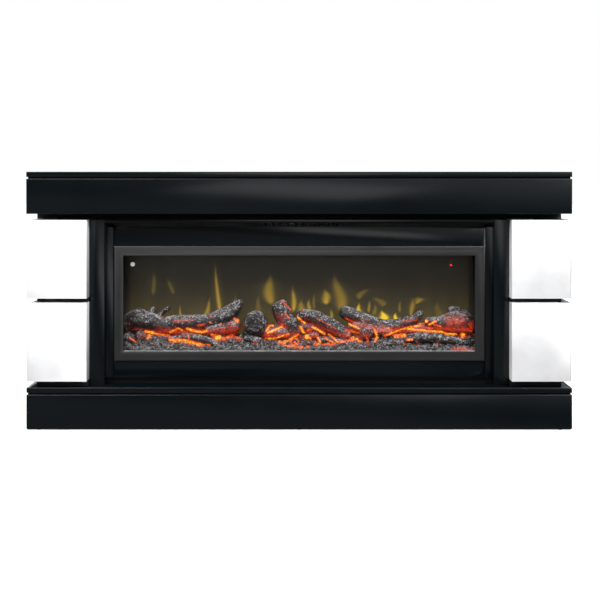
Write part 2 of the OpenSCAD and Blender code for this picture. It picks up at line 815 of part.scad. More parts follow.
mark_in = 30;    // from the opening's left edge to the receiver
mark_down = 31;  // from the opening's top edge to the receiver
lamp_in = 81;    // from the opening's right edge to the red lamp
lamp_down = 34;  // from the opening's top edge to the red lamp

module ir_receiver() color("#c9c9cc")
    rod_y([mark_in - open_x, glass_rear_y, open_z1 - mark_down], 7.5, 5);

module indicator_lamp() color("#e62a2a")
    rod_y([open_x - lamp_in, glass_rear_y, open_z1 - lamp_down], 3.5, 6);

// ---------- nodes ----------

top_board();
top_spacer();
beam_front();
beam_ends();
beam_floor();
neck_board();
block_upper_left();
block_upper_right();
block_lower_left();
block_lower_right();
side_panels();
block_spacers();
pillar_faces();
partitions();
stiles();
top_rail();
infill_panel();
infill_strips();
upper_rail();
lower_rail();
insert_shelf();
hearth_board();
hearth_spacer();
plinth_front();
plinth_ends();
plinth_back();
glides();
back_panel();
wall_brackets();
wood_screws();
firebox_shell();
rear_cover();
cover_screws();
trim_frame();
front_glass();
flame_screen();
flame_stencil();
flame_rotor();
rotor_bearings();
rotor_motor();
lamp_strips();
ember_bed();
log_left();
log_long();
log_thick();
log_diagonal();
log_branch();
heater_housing();
blower_wheel();
blower_motor();
heating_element();
outlet_grille();
control_board();
control_plate();
power_rocker();
flame_button();
heat_button();
power_inlet();
ir_receiver();
indicator_lamp();
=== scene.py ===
# %% [markdown]
# # An electric fireplace suite
#
# The object is a low mantel: a long satin black top and plinth, four glossy white blocks that
# stand two and two at its ends, and a wide electric fire set in a black panel between them.
# Behind the glass of the fire lie charred resin logs on a bed of glowing embers, and a dark
# screen on which a stencil and a turning rod of foil paddles throw moving flames.
#
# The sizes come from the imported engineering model. Blender only dresses it: it softens the
# edges of the boards, gives each part its finish, and models the logs, the embers and the fire.
#
# ## The frame
#
# Everything is in metres. X runs to the right, Y to the back and Z up, and the floor is Z = 0.

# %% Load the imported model
import json
import math

import bmesh
import bpy
import numpy as np
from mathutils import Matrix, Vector, noise


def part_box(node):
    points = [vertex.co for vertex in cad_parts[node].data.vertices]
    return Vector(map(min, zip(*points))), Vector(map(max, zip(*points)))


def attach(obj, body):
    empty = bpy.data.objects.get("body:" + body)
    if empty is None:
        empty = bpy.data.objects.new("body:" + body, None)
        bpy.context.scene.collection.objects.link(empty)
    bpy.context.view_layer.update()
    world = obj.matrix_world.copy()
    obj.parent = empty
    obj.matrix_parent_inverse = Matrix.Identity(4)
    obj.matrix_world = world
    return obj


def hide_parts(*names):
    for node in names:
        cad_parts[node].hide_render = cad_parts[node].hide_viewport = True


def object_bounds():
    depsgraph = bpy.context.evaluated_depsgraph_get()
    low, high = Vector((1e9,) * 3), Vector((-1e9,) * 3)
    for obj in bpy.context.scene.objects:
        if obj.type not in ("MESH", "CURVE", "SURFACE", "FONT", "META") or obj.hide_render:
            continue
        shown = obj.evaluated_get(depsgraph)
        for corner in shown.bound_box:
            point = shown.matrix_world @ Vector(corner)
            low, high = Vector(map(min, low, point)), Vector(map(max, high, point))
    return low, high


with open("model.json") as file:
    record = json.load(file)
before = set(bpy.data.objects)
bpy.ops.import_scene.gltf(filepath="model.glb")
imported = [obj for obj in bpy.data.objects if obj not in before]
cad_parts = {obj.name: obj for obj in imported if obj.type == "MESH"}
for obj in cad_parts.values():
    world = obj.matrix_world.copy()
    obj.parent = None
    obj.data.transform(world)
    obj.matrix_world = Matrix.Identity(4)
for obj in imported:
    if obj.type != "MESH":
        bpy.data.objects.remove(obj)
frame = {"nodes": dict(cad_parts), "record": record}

NODES = frame["nodes"]
cad_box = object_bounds()
print("overall size", [round(high - low, 4) for low, high in zip(*cad_box)])

# %% [markdown]
# ## The camera
#
# A catalogue picture of a fire suite is taken straight on and level, from a little above the
# top board, so upright lines stay upright. The lens is long, and the view is shifted down
# instead of tilting the camera, as an architect's lens would do.

# %% Camera
EYE = (0.0, -3.675, 0.853)
lens = bpy.data.cameras.new("camera")
lens.sensor_width = 36.0
lens.lens = 62.0
lens.shift_x = 0.0013
lens.shift_y = -0.203
camera = bpy.data.objects.new("camera", lens)
camera.location = EYE
camera.rotation_euler = (math.radians(90.0), 0.0, 0.0)
bpy.context.scene.collection.objects.link(camera)
bpy.context.scene.camera = camera
print("camera stands", round(-EYE[1] + cad_box[0].y, 3), "m in front of the suite")

# %% [markdown]
# ## Small helpers for node trees
#
# Every finish below is a tree of nodes. `put` adds one node, sets its values and joins its
# wires in one call, so a finish reads as a short list of steps. Wires that are sockets are
# linked, and anything else becomes the socket's own value.

# %% Node helpers
def put(tree, kind, wires=None, **settings):
    made = tree.nodes.new(kind)
    for name, value in settings.items():
        setattr(made, name, value)
    for name, value in (wires or {}).items():
        if isinstance(value, bpy.types.NodeSocket):
            tree.links.new(value, made.inputs[name])
        else:
            made.inputs[name].default_value = value
    return made


def ramp(tree, factor, stops):
    """A colour ramp. stops are (place, (r, g, b)) from low to high."""
    made = put(tree, "ShaderNodeValToRGB", {"Fac": factor})
    band = made.color_ramp
    while len(band.elements) < len(stops):
        band.elements.new(0.5)
    for number in range(len(stops) - 1, -1, -1):
        band.elements[number].position = stops[number][0]
    for number, (place, colour) in enumerate(stops):
        band.elements[number].color = (*colour, 1.0)
    return made.outputs["Color"]


def spread(tree, factor, low, high, start=0.3, end=0.7):
    """Stretches a noise value, which mostly lies between start and end, over low to high."""
    made = put(tree, "ShaderNodeMapRange", {"Value": factor, "From Min": start, "From Max": end,
                                            "To Min": low, "To Max": high})
    return made.outputs["Result"]


def sums(tree, how, a, b):
    return put(tree, "ShaderNodeMath", {0: a, 1: b}, operation=how).outputs[0]


def clouds(tree, place, scale, detail=2.0, rough=0.5):
    made = put(tree, "ShaderNodeTexNoise", {"Vector": place, "Scale": scale, "Detail": detail,
                                            "Roughness": rough})
    return made.outputs["Fac"]


def store(mesh, title, first, second):
    """Keeps two values for each point of a mesh in a UV map, which every renderer can read."""
    corner = np.empty(len(mesh.loops), dtype=np.int32)
    mesh.loops.foreach_get("vertex_index", corner)
    layer = mesh.uv_layers.get(title) or mesh.uv_layers.new(name=title)
    values = np.stack([np.ravel(first), np.ravel(second)], axis=-1)
    layer.data.foreach_set("uv", values[corner].astype(np.float32).ravel())


def stored(tree, title):
    """The two kept values, as sockets."""
    pair = put(tree, "ShaderNodeSeparateXYZ",
               {0: put(tree, "ShaderNodeUVMap", uv_map=title).outputs[0]})
    return pair.outputs["X"], pair.outputs["Y"]


def new_finish(name):
    """A material with an empty tree and the object's own coordinates."""
    made = bpy.data.materials.new(name)
    made.use_nodes = True
    tree = made.node_tree
    tree.nodes.clear()
    return made, tree, put(tree, "ShaderNodeTexCoord").outputs["Object"]


def close(tree, shader):
    put(tree, "ShaderNodeOutputMaterial", {"Surface": shader.outputs[0]})


def shades(colour, spread_by):
    """The same colour a little darker and a little lighter."""
    return ([c * (1 - spread_by) for c in colour], [min(1.0, c * (1 + spread_by)) for c in colour])


# %% [markdown]
# ## The studio
#
# A glossy black suite is lit with large soft boxes: what one sees on its front is mostly the
# reflection of a light card in front of it. Two key boxes stand high and forward at the sides,
# so they light the white blocks from above without showing in the upright black boards. The
# floor is pale and glows a little, except under the suite's footprint, where the glow is left
# out as a painted shadow. It doesn't show in the gloss, so the low panels stay dark. The white
# surround is a plain backdrop to the camera, and a dimmer, graded light to the object.

# %% Floor, backdrop and soft boxes
def flat_mesh(name, corners):
    made = bpy.data.meshes.new(name)
    made.from_pydata(corners, [], [tuple(range(len(corners)))])
    thing = bpy.data.objects.new(name, made)
    bpy.context.scene.collection.objects.link(thing)
    return thing


FLOOR = 30.0
floor = flat_mesh("floor", [(-FLOOR, -FLOOR, 0), (FLOOR, -FLOOR, 0), (FLOOR, FLOOR, 0),
                            (-FLOOR, FLOOR, 0)])
floor.visible_glossy = False
floor.visible_diffuse = False
pale, tree, place = new_finish("pale_floor")
spot = put(tree, "ShaderNodeSeparateXYZ", {0: place})
# The floor's glow is left out under the suite's footprint: a painted shadow beneath the suite.
wide_of = sums(tree, "GREATER_THAN", sums(tree, "ABSOLUTE", spot.outputs["X"], 0.0), cad_box[1].x)
deep_of = sums(tree, "GREATER_THAN", sums(tree, "ABSOLUTE", spot.outputs["Y"], 0.0), cad_box[1].y)
outside_painted_shadow = sums(tree, "MAXIMUM", wide_of, deep_of)
close(tree, put(tree, "ShaderNodeBsdfPrincipled", {
    "Base Color": ramp(tree, clouds(tree, place, 0.8), [(0.3, (0.90, 0.90, 0.90)),
                                                        (0.7, (0.93, 0.93, 0.93))]),
    "Roughness": 0.7, "Emission Color": (1.0, 1.0, 1.0, 1.0),
    "Emission Strength": sums(tree, "MULTIPLY", outside_painted_shadow, 0.6)}))
floor.data.materials.append(pale)

world = bpy.data.worlds.new("studio")
world.use_nodes = True
bpy.context.scene.world = world
tree = world.node_tree
tree.nodes.clear()
upward = put(tree, "ShaderNodeSeparateXYZ",
             {0: put(tree, "ShaderNodeTexCoord").outputs["Generated"]}).outputs["Z"]
graded = put(tree, "ShaderNodeBackground", {
    "Color": ramp(tree, spread(tree, upward, 0.0, 1.0, -1.0, 1.0),
                  [(0.38, (0.26, 0.265, 0.27)), (0.42, (0.07, 0.075, 0.08)),
                   (0.50, (0.06, 0.068, 0.072)), (0.60, (0.42, 0.42, 0.43)),
                   (1.0, (0.80, 0.80, 0.80))]),
    "Strength": 1.0})
white = put(tree, "ShaderNodeBackground", {"Color": (1, 1, 1, 1), "Strength": 1.0})
put(tree, "ShaderNodeOutputWorld", {"Surface": put(tree, "ShaderNodeMixShader", {
    0: put(tree, "ShaderNodeLightPath").outputs["Is Camera Ray"],
    1: graded.outputs[0], 2: white.outputs[0]}).outputs[0]})


def softbox(name, at, aim, wide, high, watts):
    light = bpy.data.lights.new(name, "AREA")
    light.shape = "RECTANGLE"
    light.size, light.size_y, light.energy = wide, high, watts
    box = bpy.data.objects.new(name, light)
    box.location = at
    box.rotation_euler = (Vector(aim) - Vector(at)).to_track_quat("-Z", "Y").to_euler()
    box.visible_camera = False
    bpy.context.scene.collection.objects.link(box)


softbox("card_front", (-0.5, -5.6, 1.2), (-0.5, 0, 1.15), 3.1, 1.2, 19)
softbox("key_left", (-3.0, -3.2, 4.2), (-0.6, 0, 0.4), 2.2, 2.2, 300)
softbox("key_right", (3.0, -3.2, 4.2), (0.6, 0, 0.4), 2.2, 2.2, 310)
softbox("overhead", (0, -0.6, 3.2), (0, -0.2, 0), 4.5, 3.0, 90)
softbox("rear_left", (-3.0, 3.4, 2.6), (0, 0, 0.5), 2.0, 2.0, 55)
softbox("rear_right", (3.0, 3.4, 2.6), (0, 0, 0.5), 2.0, 2.0, 55)
bpy.context.scene.view_settings.view_transform = "Standard"
bpy.context.scene.view_settings.look = "None"

# %% [markdown]
# ## Painted and lacquered boards
#
# Sprayed lacquer is never quite flat. It has orange peel a few millimetres across, its gloss
# drifts slowly over a board, and a few nibs of dust sit in it. Three noises give these: a
# slow one for the gloss, a fine one for the peel, and a very fine one for the nibs. The white
# blocks carry a clear coat on top of the colour, as high-gloss fronts do.

# %% Lacquer
def lacquer(name, colour, rough, peel=0.00002, coat=0.0, specular=0.5):
    made, tree, place = new_finish(name)
    slow = clouds(tree, place, 5.0, 3.0)
    nibs = clouds(tree, place, 900.0, 1.0)
    darker, lighter = shades(colour, 0.18)
    gloss = sums(tree, "ADD", spread(tree, slow, rough * 0.96, rough * 1.04),
                 spread(tree, nibs, 0.0, rough * 0.06, 0.55, 0.8))
    bump = put(tree, "ShaderNodeBump", {"Height": clouds(tree, place, 240.0, 2.0),
                                        "Strength": 1.0, "Distance": peel})
    close(tree, put(tree, "ShaderNodeBsdfPrincipled", {
        "Base Color": ramp(tree, slow, [(0.3, darker), (0.7, lighter)]), "Roughness": gloss,
        "Normal": bump.outputs[0], "Specular IOR Level": specular, "Coat Weight": coat,
        "Coat Roughness": 0.04}))
    return made


FINISH = {
    "black_lacquer": lacquer("black_lacquer", (0.0014, 0.0028, 0.0038), 0.21, specular=0.34),
    "groove_black": lacquer("groove_black", (0.0035, 0.0038, 0.0042), 0.62, specular=0.25),
    "white_gloss": lacquer("white_gloss", (0.84, 0.84, 0.845), 0.32, 0.000012, coat=1.0),
}


# %% [markdown]
# ## Powder coat, plated steel, plastics and boards
#
# * Powder coat on sheet steel is a fine, even orange peel with tiny lighter specks.
# * Galvanised steel shows spangle: flat crystals, each with its own tone and gloss, which a
#   Voronoi texture gives directly. Yellow-zinc screws and pressed motor cans have finer marks.
# * Moulded plastic has a spark-eroded grain and slow gloss changes.
# * Foil-faced board and hardboard show fibres that lie along the board, so the noise is
#   stretched along X.

# %% Metals, plastics and boards
def powder_coat(name, colour, rough, depth=0.00005, specular=0.5):
    made, tree, place = new_finish(name)
    grain = clouds(tree, place, 700.0, 2.0)
    darker, lighter = shades(colour, 0.22)
    bump = put(tree, "ShaderNodeBump", {"Height": grain, "Strength": 1.0, "Distance": depth})
    close(tree, put(tree, "ShaderNodeBsdfPrincipled", {
        "Base Color": ramp(tree, grain, [(0.32, darker), (0.68, lighter)]),
        "Roughness": spread(tree, clouds(tree, place, 9.0, 3.0), rough * 0.88, rough * 1.12),
        "Normal": bump.outputs[0], "Specular IOR Level": specular}))
    return made


def plated(name, colour, rough, crystal, depth=0.00001):
    made, tree, place = new_finish(name)
    cells = put(tree, "ShaderNodeTexVoronoi", {"Vector": place, "Scale": crystal})
    tone = put(tree, "ShaderNodeSeparateColor", {0: cells.outputs["Color"]}).outputs[0]
    marks = clouds(tree, place, crystal * 4.0, 4.0, 0.65)
    darker, lighter = shades(colour, 0.16)
    bump = put(tree, "ShaderNodeBump", {"Height": marks, "Strength": 1.0, "Distance": depth})
    close(tree, put(tree, "ShaderNodeBsdfPrincipled", {
        "Base Color": ramp(tree, tone, [(0.0, darker), (1.0, lighter)]), "Metallic": 1.0,
        "Roughness": sums(tree, "ADD", spread(tree, tone, rough * 0.8, rough, 0.0, 1.0),
                          spread(tree, marks, 0.0, rough * 0.5)),
        "Normal": bump.outputs[0]}))
    return made


def moulded(name, colour, rough, grain=900.0, depth=0.00002, glow=None):
    made, tree, place = new_finish(name)
    texture = clouds(tree, place, grain, 2.0)
    darker, lighter = shades(colour, 0.12)
    bump = put(tree, "ShaderNodeBump", {"Height": texture, "Strength": 1.0, "Distance": depth})
    shine = {"Emission Color": (*glow[:3], 1.0), "Emission Strength": glow[3]} if glow else {}
    close(tree, put(tree, "ShaderNodeBsdfPrincipled", {
        "Base Color": ramp(tree, clouds(tree, place, 60.0, 3.0), [(0.3, darker), (0.7, lighter)]),
        "Roughness": spread(tree, texture, rough * 0.85, rough * 1.15),
        "Normal": bump.outputs[0], **shine}))
    return made


def fibre_board(name, colour, rough, along=8.0, across=220.0):
    made, tree, place = new_finish(name)
    turned = put(tree, "ShaderNodeMapping", {"Vector": place, "Scale": (along, across, across)})
    fibres = clouds(tree, turned.outputs[0], 1.0, 5.0, 0.6)
    specks = clouds(tree, place, 500.0, 2.0)
    mixed = sums(tree, "ADD", sums(tree, "MULTIPLY", fibres, 0.65),
                 sums(tree, "MULTIPLY", specks, 0.35))
    darker, lighter = shades(colour, 0.45)
    bump = put(tree, "ShaderNodeBump", {"Height": mixed, "Strength": 1.0, "Distance": 0.0001})
    close(tree, put(tree, "ShaderNodeBsdfPrincipled", {
        "Base Color": ramp(tree, mixed, [(0.35, darker), (0.65, lighter)]),
        "Roughness": spread(tree, mixed, rough * 1.1, rough * 0.9),
        "Normal": bump.outputs[0], "Specular IOR Level": 0.35}))
    return made


FINISH.update({
    "raw_board": fibre_board("raw_board", (0.050, 0.042, 0.036), 0.72),
    "hardboard": fibre_board("hardboard", (0.060, 0.046, 0.036), 0.62, 60.0, 160.0),
    "nylon": moulded("nylon", (0.045, 0.045, 0.047), 0.45),
    "zinc_steel": plated("zinc_steel", (0.56, 0.57, 0.58), 0.36, 95.0),
    "yellow_zinc": plated("yellow_zinc", (0.66, 0.52, 0.25), 0.34, 700.0),
    "motor_steel": plated("motor_steel", (0.42, 0.43, 0.44), 0.42, 260.0),
    "mirror_foil": plated("mirror_foil", (0.86, 0.86, 0.87), 0.10, 120.0, 0.00004),
    "case_steel": powder_coat("case_steel", (0.010, 0.010, 0.011), 0.5),
    "trim_coat": powder_coat("trim_coat", (0.0075, 0.0075, 0.008), 0.38, 0.00003, specular=0.75),
    "blower_plastic": moulded("blower_plastic", (0.035, 0.037, 0.040), 0.4),
    "control_plastic": moulded("control_plastic", (0.018, 0.018, 0.019), 0.38),
    "amber_button": moulded("amber_button", (0.72, 0.30, 0.03), 0.3),
    "red_button": moulded("red_button", (0.55, 0.035, 0.025), 0.3),
    # The receiver lens gets a faint grey glow of its own: a painted highlight, as the lens gives no
    # light.
    "receiver_lens": moulded("receiver_lens", (0.26, 0.26, 0.27), 0.12, 200.0, 0.00001,
                             (0.30, 0.30, 0.31, 0.5)),
    "red_lamp": moulded("red_lamp", (0.35, 0.01, 0.02), 0.2, 300.0, 0.00001,
                        (1.0, 0.016, 0.035, 0.8)),
})
print("finishes so far", len(FINISH))

# %% [markdown]
# ## Boards and pressings with eased edges
#
# No real board has a knife edge: lacquered edges are sanded to about a millimetre, and a steel
# frame is bent round a small radius. These small rounds catch the light and draw the thin bright
# lines along the top, the plinth and the fire's frame. The engineering part has sharp edges, so
# each visible board is copied, its doubles are merged, its flat faces are joined, and a bevel
# with hardened normals rounds the edges while the faces stay flat.

# %% Easing the edges
SLOT_OF = {part["node"]: part["material_slot"] for part in frame["record"]["subparts"]}


def add_piece(name, mesh, body="root", stands_for=()):
    piece = bpy.data.objects.new(name, mesh)
    bpy.context.scene.collection.objects.link(piece)
    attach(piece, body)
    if stands_for:
        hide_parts(*stands_for)
    return piece


def settled(piece):
    """Keeps what the piece's modifiers make as its own plain mesh."""
    graph = bpy.context.evaluated_depsgraph_get()
    mesh = bpy.data.meshes.new_from_object(piece.evaluated_get(graph), depsgraph=graph)
    piece.modifiers.clear()
    piece.data = mesh
    return mesh


def eased(node, width, steps=2, shape=None):
    work = bmesh.new()
    work.from_mesh(NODES[node].data)
    bmesh.ops.remove_doubles(work, verts=work.verts, dist=0.00002)
    bmesh.ops.dissolve_limit(work, angle_limit=math.radians(0.4), verts=work.verts,
                             edges=work.edges)
    for vertex in work.verts if shape else ():
        shape(vertex.co)
    mesh = bpy.data.meshes.new(node + "_eased")
    work.to_mesh(mesh)
    work.free()
    mesh.shade_smooth()
    rough = bpy.data.objects.new("rough_cut", mesh)
    bpy.context.scene.collection.objects.link(rough)
    bevel = rough.modifiers.new("edges", "BEVEL")
    bevel.width, bevel.segments = width, steps
    bevel.limit_method, bevel.angle_limit = "ANGLE", math.radians(35.0)
    bevel.harden_normals = True
    finished = settled(rough)
    bpy.data.objects.remove(rough)
    finished.materials.clear()
    finished.materials.append(FINISH[SLOT_OF[node]])
    add_piece(node + "_eased", finished, stands_for=[node])
    return len(finished.polygons)


BOARD_EDGE, BLOCK_EDGE, STEEL_EDGE = 0.0013, 0.0016, 0.0012
EASED = {
    BOARD_EDGE: ["top_board", "beam_front", "beam_ends", "neck_board", "pillar_faces",
                 "side_panels", "stiles", "top_rail", "infill_panel", "infill_strips",
                 "hearth_board", "plinth_front", "plinth_ends", "block_spacers"],
    BLOCK_EDGE: ["block_upper_left", "block_upper_right", "block_lower_left",
                 "block_lower_right"],
}
for width, boards in EASED.items():
    for board in boards:
        print(board, "faces", eased(board, width))

# %% [markdown]
# The fire's frame is folded so that its face falls back a few degrees from the opening to its
# outer edge. That is why its top rail looks lighter than its bottom rail. A thin bright bead
# closes the lower edge of the opening, where the glass sits.

# %% The fire's frame
FALL = 0.0035
TRIM_LOW, TRIM_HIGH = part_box("trim_frame")
GLASS_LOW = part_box("front_glass")[0]
OPENING_HALF, OPENING_LOW = 0.6072, 0.2545
BEAD_DEEP, BEAD_HIGH, BEAD_RISE, BEAD_ROUND = 0.004, 0.0030, 0.0013, 0.0006


def fall_back(at):
    edge = min(at.x - TRIM_LOW.x, TRIM_HIGH.x - at.x, at.z - TRIM_LOW.z, TRIM_HIGH.z - at.z)
    if at.y < TRIM_LOW.y + 0.001 and edge < 0.001:
        at.y += FALL


print("trim_frame faces", eased("trim_frame", STEEL_EDGE, shape=fall_back))
work = bmesh.new()
bmesh.ops.create_cube(work, size=1.0)
for vertex in work.verts:
    vertex.co = Vector((vertex.co.x * OPENING_HALF * 2,
                        GLASS_LOW.y - BEAD_DEEP + vertex.co.y * BEAD_DEEP,
                        OPENING_LOW + BEAD_RISE + vertex.co.z * BEAD_HIGH))
bmesh.ops.bevel(work, geom=work.edges, offset=BEAD_ROUND, segments=2, affect="EDGES")
bead = bpy.data.meshes.new("glass_bead")
work.to_mesh(bead)
work.free()
bead.materials.append(FINISH["zinc_steel"])
add_piece("glass_bead", bead)

# %% [markdown]
# ## The front glass
#
# The fire's front is one sheet of clear toughened glass behind the frame. So near to square on
# it shows as hardly more than a faint film, so a nearly clear film with a polished surface
# stands for it. The film drifts a little, as wiped glass does. It casts no shadow.

# %% Front glass
made, tree, place = new_finish("clear_glass")
smears = clouds(tree, place, 7.0, 3.0)
close(tree, put(tree, "ShaderNodeBsdfPrincipled", {
    "Base Color": ramp(tree, smears, [(0.3, (0.004, 0.004, 0.004)), (0.7, (0.007, 0.007, 0.007))]),
    "Roughness": 0.03, "Alpha": spread(tree, smears, 0.04, 0.07)}))
FINISH["clear_glass"] = made
NODES["front_glass"].visible_shadow = False

# %% [markdown]
# ## The flame screen
#
# Light from the lamp strip is thrown by the turning foil paddles through a stencil onto the back
# of this tinted acrylic screen. From the front one sees a dull olive glow with separate tongues
# of yellow flame. The picture on the screen is worked out point by point on a fine grid: each
# tongue has a foot, a height, a width, a lean and a heat, and the hottest tongue at a point wins.
# The result is kept in a UV map, and the shader turns it into light.

# %% The picture of the flames
SCREEN_LOW, SCREEN_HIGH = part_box("flame_screen")
SCREEN_CELL = 0.003
# The dim light behind the logs: its height over the floor, its spread and its strength
BAND_AT, BAND_SPREAD, BAND_HEAT = 0.33, 0.075, 0.085
# The olive glow: how far it climbs the screen, half its width, and how softly its sides end
VEIL_TALL, VEIL_HALF, VEIL_FADE = 0.36, 0.612, 0.010
# foot x, foot height and tip height over the floor, half width, lean, belly, heat
TONGUES = [
    (-0.521, 0.430, 0.525, 0.0080, 0.000, 0.40, 0.20), (-0.452, 0.435, 0.500, 0.007, -0.022, 0.4, 0.2),
    (-0.425, 0.355, 0.402, 0.0050, -0.002, 0.15, 0.5), (-0.335, 0.350, 0.434, 0.012, 0.022, 0.15, 0.46),
    (-0.285, 0.345, 0.565, 0.0085, -0.020, 0.25, 0.54), (-0.103, 0.395, 0.514, 0.022, -0.006, 0.38, 0.44),
    (-0.020, 0.370, 0.472, 0.0100, -0.002, 0.35, 0.56), (0.004, 0.355, 0.427, 0.018, 0.010, 0.25, 0.44),
    (0.035, 0.380, 0.425, 0.0085, 0.000, 0.20, 0.50), (0.053, 0.380, 0.450, 0.006, 0.0, 0.3, 0.25),
    (0.100, 0.398, 0.461, 0.0165, -0.012, 0.40, 0.56), (0.116, 0.340, 0.392, 0.007, -0.004, 0.3, 0.5),
    (0.150, 0.370, 0.516, 0.0250, -0.022, 0.35, 0.38), (0.216, 0.362, 0.413, 0.014, -0.006, 0.15, 0.78),
    (0.212, 0.418, 0.462, 0.0150, 0.035, 0.50, 0.26), (0.250, 0.370, 0.422, 0.0055, 0.0, 0.3, 0.44),
    (0.300, 0.342, 0.384, 0.0210, 0.000, 0.20, 1.00), (0.345, 0.342, 0.376, 0.010, 0.0, 0.2, 0.88),
    (0.300, 0.392, 0.432, 0.0180, -0.030, 0.50, 0.26), (0.359, 0.370, 0.422, 0.005, 0.003, 0.3, 0.32),
    (0.402, 0.350, 0.430, 0.0100, 0.004, 0.55, 0.44), (0.424, 0.402, 0.430, 0.018, 0.004, 0.6, 0.42),
    (-0.235, 0.360, 0.450, 0.0160, 0.006, 0.20, 0.20), (-0.150, 0.350, 0.450, 0.014, 0.01, 0.2, 0.24),
    (0.500, 0.350, 0.420, 0.0200, -0.006, 0.20, 0.18), (0.270, 0.360, 0.410, 0.010, 0.0, 0.2, 0.30),
]


def heat_of_flames(x, z):
    """How hot the picture is at each point of the screen, from 0 to 1."""
    streaks = 0.55 + 0.45 * np.sin(61.0 * x + 2.0 * np.sin(23.0 * x)) * np.sin(17.0 * x + 1.0)
    hottest = BAND_HEAT * np.exp(-((z - BAND_AT) / BAND_SPREAD) ** 2) * (0.5 + streaks)
    for foot, low, tip, half, lean, belly, heat in TONGUES:
        up = (z - low) / (tip - low)
        inside = np.clip(up, 1e-4, 1.0 - 1e-4)
        middle = foot + lean * inside ** 1.5 + half * 0.22 * np.sin(6.0 * inside + 40.0 * foot)
        leaf = (inside / belly) ** (2.2 * belly) * ((1 - inside) / (1 - belly)) ** (
            2.2 * (1 - belly))
        girth = half * (0.10 + 0.90 * leaf)
        fade = np.clip(up / 0.15, 0.0, 1.0) * np.clip((1.0 - up) / 0.35, 0.0, 1.0)
        core = np.exp(-1.6 * np.abs((x - middle) / girth) ** 2.6) * fade * (1.05 - 0.45 * inside)
        halo = 0.16 * np.exp(-((x - middle) / (girth * 2.2 + 0.005)) ** 2) * fade
        hottest = np.maximum(hottest, 1.15 * heat * (core + halo * (1 - core)))
    return hottest


columns = np.linspace(SCREEN_LOW.x, SCREEN_HIGH.x,
                      round((SCREEN_HIGH.x - SCREEN_LOW.x) / SCREEN_CELL) + 1)
rows = np.linspace(SCREEN_LOW.z, SCREEN_HIGH.z,
                   round((SCREEN_HIGH.z - SCREEN_LOW.z) / SCREEN_CELL) + 1)
grid_x, grid_z = np.meshgrid(columns, rows)
picture = np.clip(heat_of_flames(grid_x, grid_z), 0.0, 1.0)
low_glow = np.clip(1.0 - (grid_z - SCREEN_LOW.z) / VEIL_TALL, 0.0, 1.0) * np.clip(
    (VEIL_HALF - np.abs(grid_x)) / VEIL_FADE, 0.0, 1.0)


def sheet(name, front, corners):
    """A closed slab: a fine grid of points in front, and a plain back with its rim. front is
    rows of points, corners the four back corners that go with the grid's own corners."""
    high, wide = front.shape[:2]
    points = [*map(tuple, front.reshape(-1, 3)), *corners]
    faces = [(r * wide + c, r * wide + c + 1, (r + 1) * wide + c + 1, (r + 1) * wide + c)
             for r in range(high - 1) for c in range(wide - 1)]
    base = high * wide
    faces.append((base, base + 3, base + 2, base + 1))
    rims = [range(0, wide), range(wide - 1, base, wide),
            range(base - 1, base - wide - 1, -1), range(base - wide, -1, -wide)]
    for side, rim in enumerate(rims):
        faces.append((*reversed(rim), base + side, base + (side + 1) % 4))
    mesh = bpy.data.meshes.new(name)
    mesh.from_pydata(points, [], faces)
    return mesh


grid = np.stack([grid_x, np.full_like(grid_x, SCREEN_LOW.y), grid_z], axis=-1)
screen = sheet("flame_picture", grid, [(x, SCREEN_HIGH.y, z) for x, z in (
    (columns[0], rows[0]), (columns[-1], rows[0]), (columns[-1], rows[-1]),
    (columns[0], rows[-1]))])
store(screen, "flame", [*picture.ravel(), 0, 0, 0, 0], [*low_glow.ravel(), 0, 0, 0, 0])

made, tree, place = new_finish("flame_acrylic")
flame, veil = stored(tree, "flame")
streaks = put(tree, "ShaderNodeMapping", {"Vector": place, "Scale": (16.0, 1.0, 5.0)})
drift = clouds(tree, streaks.outputs[0], 1.0, 3.0)
glow = sums(tree, "ADD", sums(tree, "MULTIPLY", veil, 0.10),
            sums(tree, "MULTIPLY", sums(tree, "MULTIPLY", veil, 0.08), drift))
shine = ramp(tree, sums(tree, "ADD", flame, glow),
             [(0.0, (0.003, 0.003, 0.002)), (0.05, (0.015, 0.012, 0.005)),
              (0.14, (0.048, 0.036, 0.011)), (0.35, (0.155, 0.105, 0.016)),
              (0.60, (0.36, 0.225, 0.020)), (1.0, (0.92, 0.66, 0.025))])
close(tree, put(tree, "ShaderNodeBsdfPrincipled", {
    "Base Color": ramp(tree, drift, [(0.3, (0.008, 0.007, 0.005)), (0.7, (0.012, 0.010, 0.007))]),
    "Roughness": 0.35, "Emission Color": shine, "Emission Strength": 1.0}))
FINISH["flame_acrylic"] = made
screen.materials.append(made)
add_piece("flame_picture", screen, stands_for=["flame_screen"])
print("flame picture", len(screen.polygons), "faces,", len(TONGUES), "tongues")

# %% [markdown]
# ## A helper for grown shapes
#
# Logs and coals follow a rule, so they are grown by small Geometry Nodes trees.
# `rule` makes a tree with named inputs, and `grown` runs it on a mesh and keeps a plain mesh.

# %% Geometry Nodes helpers
def rule(name, inputs):
    """A Geometry Nodes tree. inputs maps a name to (socket type, value)."""
    tree = bpy.data.node_groups.new(name, "GeometryNodeTree")
    tree.interface.new_socket("Geometry", in_out="OUTPUT", socket_type="NodeSocketGeometry")
    tree.interface.new_socket("Geometry", in_out="INPUT", socket_type="NodeSocketGeometry")
    for title, (kind, value) in inputs.items():
        made = tree.interface.new_socket(title, in_out="INPUT", socket_type="NodeSocket" + kind)
        if value is not None:
            made.default_value = value
    return tree, put(tree, "NodeGroupInput").outputs


def end_rule(tree, shape, finish):
    whole = put(tree, "GeometryNodeRealizeInstances", {"Geometry": shape}).outputs[0]
    dressed = put(tree, "GeometryNodeSetMaterial", {"Geometry": whole, "Material": finish})
    put(tree, "NodeGroupOutput", {"Geometry": dressed.outputs[0]})


